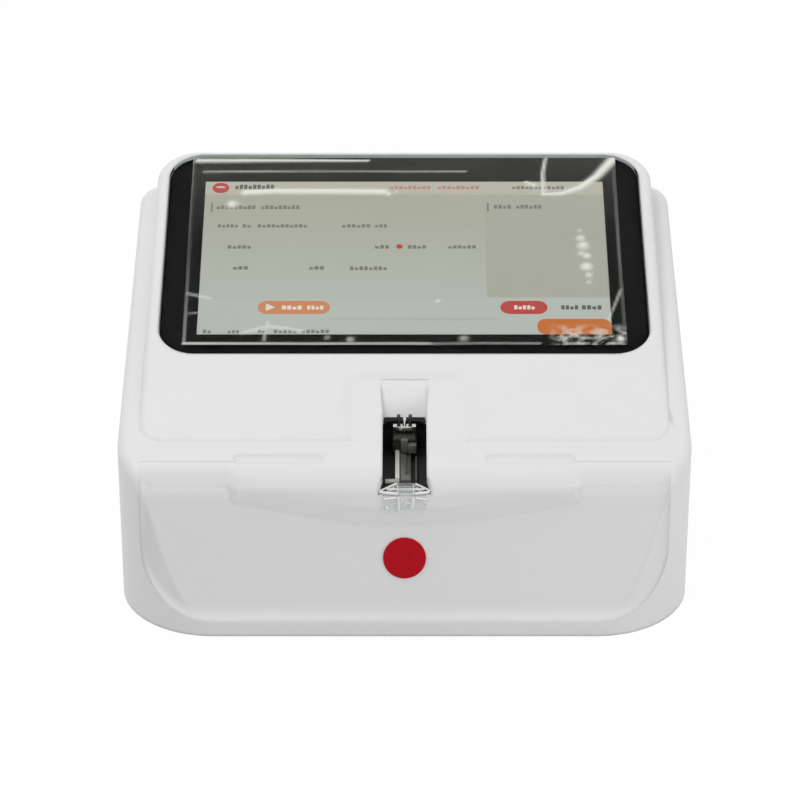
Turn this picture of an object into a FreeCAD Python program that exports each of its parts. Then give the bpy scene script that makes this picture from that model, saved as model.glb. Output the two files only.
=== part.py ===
"""Desktop coagulation analyzer, modelled piece by piece in millimetres.

Frame: X is the width, Y runs from the front lip to the rear wall, Z is up. The origin lies on
the table in the middle of the footprint. The deck pieces are drawn in the plane of the deck,
where Y runs up the slope from the fold line and Z stands off the surface.
"""
import FreeCAD, Part
import math
import os
import re
import Sketcher
from FreeCAD import Placement, Rotation, Vector

SIZES = (
    # Casing
    ("foot_height", 2.0, "rubber feet below the lip"),
    ("shoulder_width", 7.5, "shoulder beside the raised block"),
    ("rear_step", 0.98, "raised block from the rear wall"),
    ("lip_height", 5.7, "vertical lip at the front"),
    ("panel_length", 54.7, "front panel from lip to fold"),
    ("panel_slope", 77.4, "front panel from level"),
    ("deck_slope", 16.0, "deck from level"),
    ("shoulder_fall", 4.6, "shoulders fall away from the deck"),
    ("nose_radius", 14.0, "round at the fold"),
    ("front_corner", 34.5, "plan corners at the front"),
    ("rear_corner", 10.0, "plan corners at the rear"),
    ("edge_round", 4.5, "outer edges of the casing"),
    ("wall", 2.5, "moulded wall"),
    # Raised screen block, along the deck from the fold
    ("block_front", 17.8, "front edge of the block"),
    ("block_side", 4.9, "block beyond the glass at the sides"),
    ("block_rear", 3.4, "block beyond the glass at the rear"),
    ("block_corner", 16.0, "rear corners of the block"),
    ("block_toe", 9.0, "front corners of the block"),
    ("block_step", 0.6, "step down from block to nose"),
    ("block_round", 3.0, "upper edges of the block"),
    # Screen
    ("glass_side", 8.6, "touch glass beyond the display at the sides"),
    ("glass_near", 3.8, "touch glass beyond the display at the front"),
    ("glass_far", 9.7, "touch glass beyond the display at the rear"),
    ("glass_corner", 13.5, "touch glass"),
    ("glass_thickness", 1.8, "touch glass"),
    ("glass_front", 63.6, "front edge of the glass from the fold"),
    ("glass_proud", 0.3, "glass above the deck"),
    ("glass_gap", 0.25, "glass in its pocket"),
    ("gasket_thickness", 0.5, "foam frame under the glass"),
    ("gasket_inset", 1.0, "foam frame inside the edge of the glass"),
    ("ledge_depth", 5.0, "underside of the moulded screen ledge"),
    ("lcd_width", 165.0, "display module"),
    ("lcd_length", 98.0, "display module"),
    ("lcd_thickness", 5.0, "display module"),
    ("lcd_gap", 0.3, "gap round and above the display module"),
    ("lcd_corner", 0.6, "display module"),
    ("frame_flange", 5.0, "screw flange of the display frame"),
    ("frame_sheet", 1.0, "sheet of the display frame"),
    ("frame_border", 20.0, "display frame round its window"),
    ("frame_hole", 2.7, "tapped holes of the display frame"),
    ("frame_screw_head", 4.5, "screws of the display frame"),
    ("frame_screw_rise", 1.4, "screw heads of the display frame"),
    ("frame_screw_shank", 2.4, "screws of the display frame"),
    ("film_side", 8.7, "film inside the glass at the sides"),
    ("film_near", 3.9, "film inside the glass at the front"),
    ("film_far", 2.1, "film inside the glass at the rear"),
    ("film_thickness", 0.2, "protective film"),
    ("film_corner", 0.8, "protective film"),
    # Test slot
    ("slot_width", 15.8, "slot in the deck"),
    ("slot_back", 47.0, "rear end of the slot from the lip"),
    ("slot_corner", 3.2, "rear corners of the slot"),
    ("slot_floor", 52.4, "slot floor above the lip's foot"),
    ("mouth_width", 19.0, "slot at the front"),
    ("mouth_end", 15.0, "where the mouth has narrowed"),
    ("scoop_width", 17.5, "sloped scoop behind the slot"),
    ("scoop_start", 51.0, "top of the scoop from the fold"),
    ("scoop_depth", 6.4, "scoop below the deck at the slot"),
    ("scoop_bulge", 1.0, "roundness of the scoop's fall"),
    ("scoop_draft", 0.3, "lean of the scoop's sides"),
    ("arch_width", 42.0, "shallow recess round the slot"),
    ("arch_place", 1.4, "middle of the recess from the centre line"),
    ("arch_start", 50.6, "top of the recess from the fold"),
    ("arch_end", 13.0, "front end of the recess"),
    ("arch_depth", 1.3, "recess at its top"),
    ("arch_draft", 3.0, "soft edge of the recess"),
    ("arch_corner", 5.0, "recess corners"),
    ("liner_wall", 1.5, "slot liner"),
    ("liner_gap", 0.2, "liner under the casing"),
    # Nose and front panel
    ("groove_length", 33.0, "soft groove"),
    ("groove_middle", 45.0, "groove from the centre line"),
    ("groove_place", 9.5, "groove from the fold"),
    ("groove_radius", 2.7, "groove section"),
    ("groove_depth", 1.3, "groove"),
    ("recess_width", 182.0, "front panel recess"),
    ("recess_depth", 1.8, "front panel recess"),
    ("recess_top", 0.5, "top of the recess below the fold"),
    ("recess_bottom", 47.6, "recess foot from the fold"),
    ("recess_corner", 17.0, "lower corners of the recess"),
    ("tongue_width", 118.0, "shelf over the recess"),
    ("tongue_drop", 3.0, "ends of the shelf from the fold"),
    ("tongue_bib", 8.0, "middle of the shelf below its ends"),
    ("tongue_middle", 36.0, "middle of the shelf"),
    ("tongue_run", 3.0, "slant at the ends of the shelf"),
    ("tongue_draft", 7.0, "soft lower edge of the shelf"),
    ("badge_diameter", 15.4, "round mark"),
    ("badge_thickness", 0.6, "round mark"),
    ("badge_drop", 30.6, "round mark from the fold"),
    # Test position
    ("strip_width", 3.8, "cartridge strip"),
    ("strip_height", 1.8, "cartridge strip"),
    ("strip_front", 19.0, "front of the strip from the lip"),
    ("strip_place", 0.4, "strip from the centre line"),
    ("strip_groove", 1.3, "sample groove of the strip"),
    ("strip_groove_place", 0.3, "sample groove from the middle of the strip"),
    ("strip_groove_depth", 0.7, "sample groove of the strip"),
    ("holder_width", 8.8, "cell holder"),
    ("holder_front", 39.6, "cell holder from the lip"),
    ("holder_depth", 7.6, "cell holder"),
    ("holder_height", 7.6, "cell holder"),
    ("holder_round", 1.4, "upper edges of the holder"),
    ("optic_width", 2.6, "optic block, upper step"),
    ("optic_step", 3.0, "optic block, lower step"),
    ("optic_height", 5.2, "optic block"),
    ("optic_depth", 1.8, "optic block, upper step"),
    ("optic_reach", 2.5, "optic block, lower step"),
    ("clip_thickness", 1.6, "white guide clip"),
    ("clip_height", 2.6, "white guide clip"),
    ("clip_foot", 3.6, "foot of the guide clip"),
    ("clip_gap", 0.3, "clip beside the strip"),
    ("rail_width", 0.6, "guide rail"),
    ("rail_height", 1.8, "guide rail"),
    ("grip_thickness", 0.6, "clear grip"),
    ("grip_root", 3.0, "half width of the grip where it meets the strip"),
    ("grip_lip", 6.0, "lip of the grip over the front edge"),
    ("rib_pitch", 1.5, "ribs of the grip"),
    ("post_diameter", 1.3, "guide posts"),
    ("post_spacing", 4.2, "guide posts"),
    ("post_above", 2.9, "guide posts above the raised contact head"),
    ("post_clearance", 0.05, "contact head on its posts"),
    ("head_width", 8.2, "contact head bar"),
    ("head_bar", 2.2, "contact head bar, front to rear"),
    ("head_height", 1.6, "contact head bar"),
    ("head_lift", 1.2, "bar above the holder"),
    ("pin_diameter", 1.5, "contact pin"),
    ("pin_above", 2.6, "pin above the bar"),
    ("pin_well", 2.6, "well for the pin in the holder"),
    ("head_travel", 1.5, "upward travel of the head"),
    ("heater_width", 15.0, "warm plate"),
    ("heater_length", 26.0, "warm plate"),
    ("heater_thickness", 3.0, "warm plate"),
    ("sensor_width", 34.0, "detector board"),
    ("sensor_length", 30.0, "detector board"),
    # Base
    ("base_plate", 2.5, "bottom cover"),
    ("base_rim", 5.0, "upstand of the bottom cover"),
    ("base_gap", 0.25, "bottom cover in the casing"),
    ("boss_diameter", 8.0, "screw columns"),
    ("boss_inset", 8.5, "screw columns from the sides"),
    ("boss_front", 38.0, "front columns from the lip"),
    ("boss_rear", 20.5, "rear columns from the rear wall"),
    ("screw_diameter", 3.0, "case screws"),
    ("screw_head", 5.6, "case screw heads"),
    ("screw_length", 9.0, "case screws"),
    ("foot_diameter", 14.0, "rubber feet"),
    ("foot_sink", 0.8, "feet in their pockets"),
    ("foot_inset", 31.5, "feet from the sides"),
    ("foot_front", 30.0, "front feet from the lip"),
    ("foot_rear", 26.5, "rear feet from the rear wall"),
    # Electronics
    ("board_width", 150.0, "main board"),
    ("board_length", 78.0, "main board"),
    ("board_thickness", 1.6, "main board"),
    ("board_gap", 1.0, "main board from the rear wall"),
    ("standoff_height", 6.0, "brass standoffs"),
    ("standoff_diameter", 5.0, "brass standoffs"),
    ("board_margin", 5.0, "standoffs from the board edge"),
    ("shield_width", 44.0, "screening can"),
    ("shield_length", 34.0, "screening can"),
    ("shield_height", 4.0, "screening can"),
    ("ribbon_width", 22.0, "flat cable"),
    ("ribbon_thickness", 0.4, "flat cable"),
    ("board_screw", 2.4, "board screws in their standoffs"),
    ("speaker_diameter", 22.0, "sounder"),
    ("speaker_height", 5.0, "sounder"),
    ("speaker_inset", 42.5, "sounder from the side"),
    ("speaker_place", 61.5, "sounder from the lip"),
    # Rear side
    ("port_gap", 0.3, "sockets in their cut-outs"),
    ("jack_width", 9.0, "low-voltage inlet"),
    ("jack_height", 11.0, "low-voltage inlet"),
    ("jack_bore", 6.4, "low-voltage inlet"),
    ("jack_place", -62.0, "low-voltage inlet"),
    ("usb_width", 13.2, "serial bus sockets"),
    ("usb_height", 6.0, "serial bus sockets"),
    ("usb_sheet", 0.3, "shell of a serial bus socket"),
    ("usb_tongue", 1.9, "tongue of a serial bus socket"),
    ("usb_room", 0.6, "tongue beside the shell"),
    ("usb_place", -34.0, "first serial bus socket"),
    ("usb_pitch", 20.0, "between the two sockets"),
    ("serial_width", 31.0, "printer socket flange"),
    ("serial_height", 12.6, "printer socket flange"),
    ("serial_place", 22.0, "printer socket"),
    ("serial_nose", 5.0, "printer socket beyond the rear wall"),
    ("serial_shell", 16.8, "shell of the printer socket"),
    ("serial_rise", 7.8, "shell of the printer socket"),
    ("serial_body", 19.2, "body of the printer socket inside"),
    ("serial_nut", 4.6, "nuts of the printer socket"),
    ("serial_nut_place", 12.4, "nuts from the middle of the printer socket"),
    ("port_depth", 14.0, "sockets from the rear wall inwards"),
    ("switch_width", 15.0, "switch flange"),
    ("switch_height", 21.0, "switch flange"),
    ("switch_place", 68.0, "switch from the centre line"),
    ("switch_rise", 34.0, "switch above the table"),
    ("switch_flange", 1.6, "switch flange thickness"),
    ("rocker_radius", 7.2, "rocker about its pivot"),
    ("rocker_width", 9.0, "rocker"),
    ("rocker_gap", 0.3, "rocker in its frame"),
    ("rocker_throw", 18.0, "rocker swing"),
    ("rocker_pin", 2.4, "rocker trunnions"),
    ("rocker_pin_reach", 1.1, "trunnions beyond the rocker"),
    ("rocker_pin_clearance", 0.05, "trunnions in the frame"),
    ("vent_length", 40.0, "rear vents"),
    ("vent_height", 2.2, "rear vents"),
    ("vent_pitch", 5.0, "rear vents"),
    ("vent_rise", 62.0, "lowest rear vent above the table"),
    ("vent_side", 46.0, "vent groups from the centre line"),
)
FOLLOWING = (
    ("glass_width", "lcd_width + 2 * glass_side", "touch glass"),
    ("glass_length", "lcd_length + glass_near + glass_far", "touch glass"),
    ("lcd_front", "glass_front + glass_near", "front edge of the display module"),
    ("film_width", "glass_width - 2 * film_side", "protective film"),
    ("film_length", "glass_length - film_near - film_far", "protective film"),
    ("film_front", "glass_front + film_near", "front edge of the film"),
    ("block_width", "glass_width + 2 * block_side", "raised block"),
    ("block_back", "glass_front + glass_length + block_rear", "rear edge of the block"),
    ("body_width", "block_width + 2 * shoulder_width", "casing across the sides"),
    ("body_depth", "panel_length * cos(panel_slope) + block_back * cos(deck_slope) + rear_step",
     "front lip to rear wall"),
    ("boss_side", "body_width / 2 - boss_inset", "screw columns from the centre line"),
    ("boss_back", "body_depth - boss_rear", "rear columns from the lip"),
    ("foot_side", "body_width / 2 - foot_inset", "feet from the centre line"),
    ("foot_back", "body_depth - foot_rear", "rear feet from the lip"),
    ("speaker_side", "body_width / 2 - speaker_inset", "sounder from the centre line"),
)
VENT_ROWS = 5
BASE_SLOTS = 7
GRIP_RIBS = 3
FUNCTIONS = ("cos",)
follows = {alias for alias, _, _ in FOLLOWING}

document = FreeCAD.newDocument("Analyzer")


def formula(text, own=""):
    """Turns the sheets' words in a formula into references to their cells."""
    def cell(word):
        name = word.group()
        if name in FUNCTIONS:
            return name
        page = "Following" if name in follows else "Sizes"
        return name if page == own else page + "." + name
    return re.sub(r"[a-z][a-z_]+", cell, str(text))


def fill(page, rows):
    """Makes a sheet with one named cell on each row."""
    item = document.addObject("Spreadsheet::Sheet", page)
    for row, (alias, content, note) in enumerate(rows, start=1):
        item.set("A%d" % row, alias)
        item.set("B%d" % row, content)
        item.set("C%d" % row, note)
        item.setAlias("B%d" % row, alias)
    document.recompute()
    return item


sheet = fill("Sizes", [(alias, str(value), note) for alias, value, note in SIZES])
following = fill("Following", [(alias, "=" + formula(text, "Following"), note)
                               for alias, text, note in FOLLOWING])
kept = []


class Cells:
    """Reads the sheets, so that code and expressions share one set of numbers."""

    def __getattr__(self, alias):
        return float((following if alias in follows else sheet).get(alias))


size = Cells()


def bound(kind, name, **sizes):
    """Adds an object whose properties follow formulas of the sheet's words."""
    item = document.addObject(kind, name)
    for prop, text in sizes.items():
        item.setExpression(prop, formula(text))
    return item


def at(item, x="0", y="0", z="0"):
    """Ties an object's place to formulas of the sheet's words."""
    for axis, text in zip("xyz", (x, y, z)):
        item.setExpression(".Placement.Base." + axis, formula(text))
    return item


def block(name, length, width, height, x, y, z):
    """A box given by its size and lowest corner."""
    item = bound("Part::Box", name, Length=length, Width=width, Height=height)
    return at(item, x, y, z)


def rod(name, diameter, height, x, y, z, axis="Z"):
    """A cylinder along Z, or along +Y or +X where the axis says so."""
    item = bound("Part::Cylinder", name, Radius="(%s) / 2" % diameter, Height=height)
    if axis == "Y":
        item.Placement.Rotation = Rotation(Vector(1, 0, 0), -90)
    if axis == "X":
        item.Placement.Rotation = Rotation(Vector(0, 1, 0), 90)
    return at(item, x, y, z)


def joined(name, parts):
    """One body fused from several."""
    item = document.addObject("Part::MultiFuse", name)
    item.Shapes = list(parts)
    return item


def grouped(name, parts):
    """Like pieces that stay separate solids in one sub-part."""
    item = document.addObject("Part::Compound", name)
    item.Links = list(parts)
    return item


def less(name, base, tools):
    """A body with one or more tools cut from it."""
    tool = tools[0] if len(tools) == 1 else joined(name + "_tools", tools)
    item = document.addObject("Part::Cut", name)
    item.Base = base
    item.Tool = tool
    return item


def keep(item, label, placement=None):
    """Marks an object as a sub-part, with its own label and placement."""
    item.Label = label
    if placement is not None:
        item.Placement = placement
    kept.append(item)
    return item


def shaped(label, shape, placement=None):
    """A sub-part whose form is worked out in code."""
    item = document.addObject("Part::Feature", label)
    item.Shape = shape
    return keep(item, label, placement or Placement())


# Reference lines

def direction(degrees):
    return Vector(0, math.cos(math.radians(degrees)), math.sin(math.radians(degrees)))


def inward(degrees):
    """The normal that points into the casing from a face of this slope."""
    return Vector(0, math.sin(math.radians(degrees)), -math.cos(math.radians(degrees)))


lip_top = Vector(0, 0, size.foot_height + size.lip_height)
fold = lip_top + direction(size.panel_slope) * size.panel_length
deck = Placement(fold, Rotation(Vector(1, 0, 0), size.deck_slope))
panel = Placement(fold, Rotation(Vector(1, 0, 0), size.panel_slope))
floor_top = size.foot_height + size.slot_floor
shoulder_slope = size.deck_slope - size.shoulder_fall
shoulder_point = deck.multVec(Vector(0, size.block_front, -size.block_step))
ABOVE = 60.0
OVER = 1.0


# Casing form

def meet(point, along, other, way):
    """Where two lines of the side view cross."""
    gap = other - point
    spread = along.y * way.z - along.z * way.y
    return point + along * ((gap.y * way.z - gap.z * way.y) / spread)


def side_outline(inset, low):
    """The side view under the shoulders, with the round nose, moved inwards by inset."""
    lip = Vector(0, inset, low)
    rear = Vector(0, size.body_depth - inset, low)
    front_line = lip_top + inward(size.panel_slope) * inset
    top_line = shoulder_point + inward(shoulder_slope) * inset
    up, along, rise = Vector(0, 0, 1), direction(shoulder_slope), direction(size.panel_slope)
    knee = meet(lip, up, front_line, rise)
    nose = meet(front_line, rise, top_line, along)
    crown = meet(rear, up, top_line, along)
    radius = size.nose_radius - inset
    reach = radius * math.tan(math.radians(size.panel_slope - shoulder_slope) / 2)
    start, end = nose - rise * reach, nose + along * reach
    centre = start + inward(size.panel_slope) * radius
    middle = centre + (nose - centre).normalize() * radius
    runs = [(lip, knee), (knee, start), (end, crown), (crown, rear), (rear, lip)]
    edges = [Part.LineSegment(a, b).toShape() for a, b in runs]
    edges.insert(2, Part.Arc(start, middle, end).toShape())
    return Part.Wire(edges)


def rounded(x0, x1, y0, y1, front, back, z=0.0):
    """A rectangle in plan with round corners, one radius at the front and one at the back."""
    corners = ((x1, y0, front, -1, 1), (x1, y1, back, -1, -1),
               (x0, y1, back, 1, -1), (x0, y0, front, 1, 1))
    edges, ends = [], []
    bend = 1 - math.sqrt(0.5)
    for count, (x, y, radius, sx, sy) in enumerate(corners):
        along_y = Vector(x, y + sy * radius, z)
        along_x = Vector(x + sx * radius, y, z)
        middle = Vector(x + sx * radius * bend, y + sy * radius * bend, z)
        first, last = (along_x, along_y) if count % 2 == 0 else (along_y, along_x)
        ends.append((first, last))
        edges.append(Part.Arc(first, middle, last).toShape())
    links = [Part.LineSegment(ends[i - 1][1], ends[i][0]).toShape() for i in range(4)]
    wire = []
    for link, arc in zip(links, edges):
        wire += [link, arc]
    return Part.Wire(wire)


def prism(wire, height):
    return Part.Face(wire).extrude(Vector(0, 0, height))


def plan_wire(inset, low):
    half = size.body_width / 2 - inset
    front, back = size.front_corner - inset, size.rear_corner - inset
    return rounded(-half, half, inset, size.body_depth - inset, front, back, low)


def casing_body(inset, low):
    """The wedge under the shoulders, cut to the plan."""
    outline = side_outline(inset, low)
    outline.translate(Vector(-size.body_width, 0, 0))
    wedge = Part.Face(outline).extrude(Vector(2 * size.body_width, 0, 0))
    return wedge.common(prism(plan_wire(inset, low), fold.z + size.body_depth))


def rim_edges(body, wall_line):
    """The edges where the plan's walls meet the sloped faces."""
    found = []
    for edge in body.Edges:
        first, last = edge.Vertexes[0].Point, edge.Vertexes[-1].Point
        middle = edge.valueAt((edge.FirstParameter + edge.LastParameter) / 2)
        upright = math.hypot(first.x - last.x, first.y - last.y) < 1e-6
        level = Part.Vertex(middle.x, middle.y, 0)
        if not upright and middle.z > size.foot_height + 0.01 and level.distToShape(wall_line)[0] < 1e-4:
            found.append(edge)
    return found


def screen_block(inset):
    """The raised block in the plane of the deck, with its upper edges rounded."""
    half = size.block_width / 2 - inset
    toe, corner = size.block_toe - inset, size.block_corner - inset
    low = -size.block_back * math.sin(math.radians(size.shoulder_fall)) - 2 * size.wall - inset
    outline = rounded(-half, half, size.block_front + inset, size.block_back - inset, toe, corner, low)
    slab = prism(outline, -inset - low)
    if size.block_round > inset + size.glass_gap:
        top = [edge for edge in slab.Edges if min(v.Z for v in edge.Vertexes) > -inset - 1e-6]
        slab = slab.makeFillet(size.block_round - inset, top)
    slab.Placement = deck
    return slab


def casing_form(inset, low):
    """The whole outer form, or the same form moved inwards by inset."""
    body = casing_body(inset, low)
    if inset == 0:
        body = body.makeFillet(size.edge_round, rim_edges(body, plan_wire(0, 0)))
    tall = prism(plan_wire(inset, low), fold.z + size.body_depth)
    raised = screen_block(inset).common(tall)
    return body.fuse(raised).removeSplitter()


def tapered(*outlines):
    """A solid with straight sides from one outline to the next."""
    return Part.makeLoft(list(outlines), True, True)


def glass_outline(grow, z):
    half = size.glass_width / 2 + grow
    front, back = size.glass_front - grow, size.glass_front + size.glass_length + grow
    corner = size.glass_corner + grow
    return rounded(-half, half, front, back, corner, corner, z)


def window_outline(z):
    half = size.lcd_width / 2 + size.lcd_gap
    front, back = size.lcd_front - size.lcd_gap, size.lcd_front + size.lcd_length + size.lcd_gap
    return rounded(-half, half, front, back, OVER, OVER, z)


def placed(shape, placement):
    shape.Placement = placement
    return shape


pocket_floor = size.glass_proud - size.glass_thickness - size.gasket_thickness


def screen_ledge():
    """The thick moulded frame that the glass is stuck to, rooted in the block's walls."""
    ring = prism(glass_outline(2 * size.wall, -size.ledge_depth), size.ledge_depth - OVER)
    return placed(ring, deck).common(screen_block(size.wall / 2))


def screen_cuts():
    pocket = prism(glass_outline(size.glass_gap, pocket_floor), ABOVE)
    window = prism(window_outline(-size.ledge_depth - OVER), ABOVE)
    return [placed(pocket, deck), placed(window, deck)]


def slot_outline(grow):
    """The slot in plan, open at the front, with its flared mouth."""
    half, mouth = size.slot_width / 2 + grow, size.mouth_width / 2 + grow
    back, corner = size.slot_back + grow, size.slot_corner
    flare = size.mouth_end - (mouth - half) * 2
    bend = corner * (1 - math.sqrt(0.5))
    right = [Vector(mouth, -OVER, 0), Vector(mouth, flare, 0), Vector(half, size.mouth_end, 0),
             Vector(half, back - corner, 0)]
    turn = [Vector(half - bend, back - bend, 0), Vector(half - corner, back, 0)]
    mirrored = lambda p: Vector(-p.x, p.y, p.z)
    edges = [Part.LineSegment(a, b).toShape() for a, b in zip(right, right[1:])]
    edges.append(Part.Arc(right[-1], turn[0], turn[1]).toShape())
    edges.append(Part.LineSegment(turn[1], mirrored(turn[1])).toShape())
    edges.append(Part.Arc(mirrored(turn[1]), mirrored(turn[0]), mirrored(right[-1])).toShape())
    left = [mirrored(p) for p in reversed(right)]
    edges += [Part.LineSegment(a, b).toShape() for a, b in zip(left, left[1:])]
    edges.append(Part.LineSegment(left[-1], right[0]).toShape())
    return Part.Wire(edges)


def slot_cut():
    outline = slot_outline(0)
    outline.translate(Vector(0, 0, floor_top))
    return prism(outline, ABOVE)


slot_along = (size.slot_back - fold.y) / math.cos(math.radians(size.deck_slope))
corner_along = size.slot_corner / math.cos(math.radians(size.deck_slope))


def scoop_profile(half, start, top, under, reach):
    """The side view behind the slot: a round fall from start, then level as far as reach."""
    rim = Vector(-half, start, -under[0])
    foot = Vector(-half, slot_along, -size.scoop_depth - under[1])
    chord = rim - foot
    out = Vector(0, -chord.z, chord.y).normalize()
    middle = (rim + foot) * 0.5 + out * size.scoop_bulge
    end = Vector(-half, slot_along - reach, foot.z)
    lines = [(foot, end), (end, Vector(-half, end.y, top)),
             (Vector(-half, end.y, top), Vector(-half, start, top)), (Vector(-half, start, top), rim)]
    edges = [Part.Arc(rim, middle, foot).toShape()]
    return Part.Wire(edges + [Part.LineSegment(a, b).toShape() for a, b in lines])


def scoop_cut():
    """The sloped channel behind the slot, with leaning sides."""
    wide, narrow = size.scoop_width / 2, size.slot_width / 2 - size.liner_gap / 2
    reach = corner_along + OVER
    profile = scoop_profile(2 * wide, size.scoop_start, OVER, (size.arch_depth, 0), reach)
    channel = Part.Face(profile).extrude(Vector(4 * wide, 0, 0))
    near, far = slot_along - reach, size.scoop_start

    def plan(lean, z):
        ends = [Vector(lean - narrow, near, z), Vector(narrow - lean, near, z),
                Vector(wide - lean, far, z), Vector(lean - wide, far, z)]
        return Part.makePolygon(ends + ends[:1])
    sides = tapered(plan(size.scoop_draft, -size.scoop_depth - OVER), plan(0, OVER))
    return placed(channel.common(sides), deck)


def scoop_block(grow, reach):
    """The solid that the scoop is moulded in: its wall, or the room that the wall needs."""
    half, start = size.scoop_width / 2 + grow, size.scoop_start + 2 * grow
    profile = scoop_profile(half, start, 0, (grow - OVER / 4, grow), reach)
    return placed(Part.Face(profile).extrude(Vector(2 * half, 0, 0)), deck)


def arch_cut():
    """The shallow recess round the slot: deepest at its top, run out at the front."""
    def outline(grow, z):
        half, place = size.arch_width / 2 + grow, size.arch_place
        front = size.arch_end - grow - size.block_front
        back = size.arch_start + grow - size.block_front
        return rounded(place - half, place + half, front, back, OVER, size.arch_corner + grow, z)
    rise = 2 * size.arch_depth
    cutter = tapered(outline(0, 0), outline(size.arch_draft * rise / size.arch_depth, rise))
    lean = math.atan2(size.arch_depth - size.block_step, size.arch_start - size.block_front)
    step = Vector(0, size.block_front, -size.block_step)
    cutter.Placement = deck.multiply(Placement(step, Rotation(Vector(1, 0, 0), -math.degrees(lean))))
    return cutter


def groove_cuts():
    lift = size.groove_radius - size.groove_depth
    nose_rise = (size.block_front - size.groove_place) * math.tan(math.radians(size.shoulder_fall))
    top = nose_rise - size.block_step + lift
    cuts = []
    for side in (-1, 1):
        half = size.groove_length / 2 - size.groove_radius
        start = Vector(side * size.groove_middle - half, size.groove_place, top)
        trough = Part.makeCylinder(size.groove_radius, 2 * half, start, Vector(1, 0, 0))
        for end in (start, start + Vector(2 * half, 0, 0)):
            trough = trough.fuse(Part.makeSphere(size.groove_radius, end))
        cuts.append(placed(trough.removeSplitter(), deck))
    return cuts


def front_cutter(wire, reach):
    """A cutter as far back as reach, from an outline drawn in the front view."""
    return placed(prism(wire, reach + OVER), Placement(Vector(0, reach, 0), Rotation(Vector(1, 0, 0), 90)))


def recess_cut():
    """The sunk front panel: one depth all over, round the front corners too, under its shelf."""
    half = size.recess_width / 2
    foot = fold.z - size.recess_bottom * math.sin(math.radians(size.panel_slope))
    field = front_cutter(rounded(-half, half, foot, fold.z - size.recess_top, size.recess_corner, OVER),
                         size.front_corner)

    def shelf(share):
        """The shelf at a share of the recess's depth, 0 at the panel and 1 at the floor."""
        end, middle = size.tongue_width / 2 + share * size.tongue_run, size.tongue_middle / 2
        low, high = -size.tongue_drop - share * size.tongue_draft, size.nose_radius * 3
        ends = [Vector(-end, low, 0), Vector(-middle, low - size.tongue_bib, 0),
                Vector(middle, low - size.tongue_bib, 0), Vector(end, low, 0),
                Vector(end, high, 0), Vector(-end, high, 0)]
        wire = Part.makePolygon(ends + ends[:1])
        wire.translate(Vector(0, 0, -share * size.recess_depth))
        return wire
    over = OVER / size.recess_depth
    tongue = placed(tapered(shelf(1 + over), shelf(-2 * over)), panel)
    return field.cut(casing_body(size.recess_depth, -ABOVE)).cut(tongue)


def column_places():
    return [(side * size.boss_side, y) for y in (size.boss_front, size.boss_back) for side in (-1, 1)]


def foot_places():
    return [(side * size.foot_side, y) for y in (size.foot_front, size.foot_back) for side in (-1, 1)]


base_top = size.foot_height + size.base_plate


def screw_columns(form):
    """Columns from the roof of the casing down to the bottom cover."""
    columns = []
    for x, y in column_places():
        column = Part.makeCylinder(size.boss_diameter / 2, ABOVE * 2, Vector(x, y, base_top))
        columns.append(column.common(form))
    return columns


def column_holes():
    radius = size.screw_diameter / 2
    return [Part.makeCylinder(radius, size.screw_length, Vector(x, y, size.foot_height))
            for x, y in column_places()]


port_base = base_top + size.standoff_height + size.board_thickness


def rear_hole(x, z, width, height):
    """A square hole through the rear wall, given by the middle of its lower edge."""
    grow = size.port_gap
    corner = Vector(x - width / 2 - grow, size.body_depth - 2 * size.wall, z - grow)
    return Part.makeBox(width + 2 * grow, 3 * size.wall, height + 2 * grow, corner)


def rear_cuts():
    jack = rear_hole(size.jack_place, port_base, size.jack_width, size.jack_height)
    usb = [rear_hole(size.usb_place + n * size.usb_pitch, port_base, size.usb_width, size.usb_height)
           for n in range(2)]
    serial = rear_hole(size.serial_place, port_base, size.serial_width, size.serial_height)
    width, height = size.switch_width - 2 * size.switch_flange, size.switch_height - 2 * size.switch_flange
    switch = rear_hole(size.switch_place, size.switch_rise - height / 2, width, height)
    return [jack, serial, switch] + usb


def vent_cuts():
    """Slots in the rear wall, in two groups."""
    cuts = []
    for side in (-1, 1):
        for row in range(VENT_ROWS):
            corner = Vector(side * size.vent_side - size.vent_length / 2, size.body_depth - 2 * size.wall,
                            size.vent_rise + row * size.vent_pitch - size.vent_height / 2)
            cuts.append(Part.makeBox(size.vent_length, 3 * size.wall, size.vent_height, corner))
    return cuts


def top_cover():
    outer = casing_form(0, size.foot_height)
    inner = casing_form(size.wall, -ABOVE)
    shell = outer.cut(inner)
    solid = [shell, screen_ledge(), scoop_block(size.wall, corner_along).common(outer)] + screw_columns(outer)
    cover = solid[0].fuse(solid[1:])
    cuts = screen_cuts() + [arch_cut(), recess_cut(), slot_cut(), scoop_cut()]
    cuts += groove_cuts() + column_holes() + rear_cuts() + vent_cuts()
    cover = cover.cut(cuts).removeSplitter()
    return cover.Solids[0] if len(cover.Solids) == 1 else cover


shaped("top_cover", top_cover())


# Screen, drawn in the plane of the deck

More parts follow.
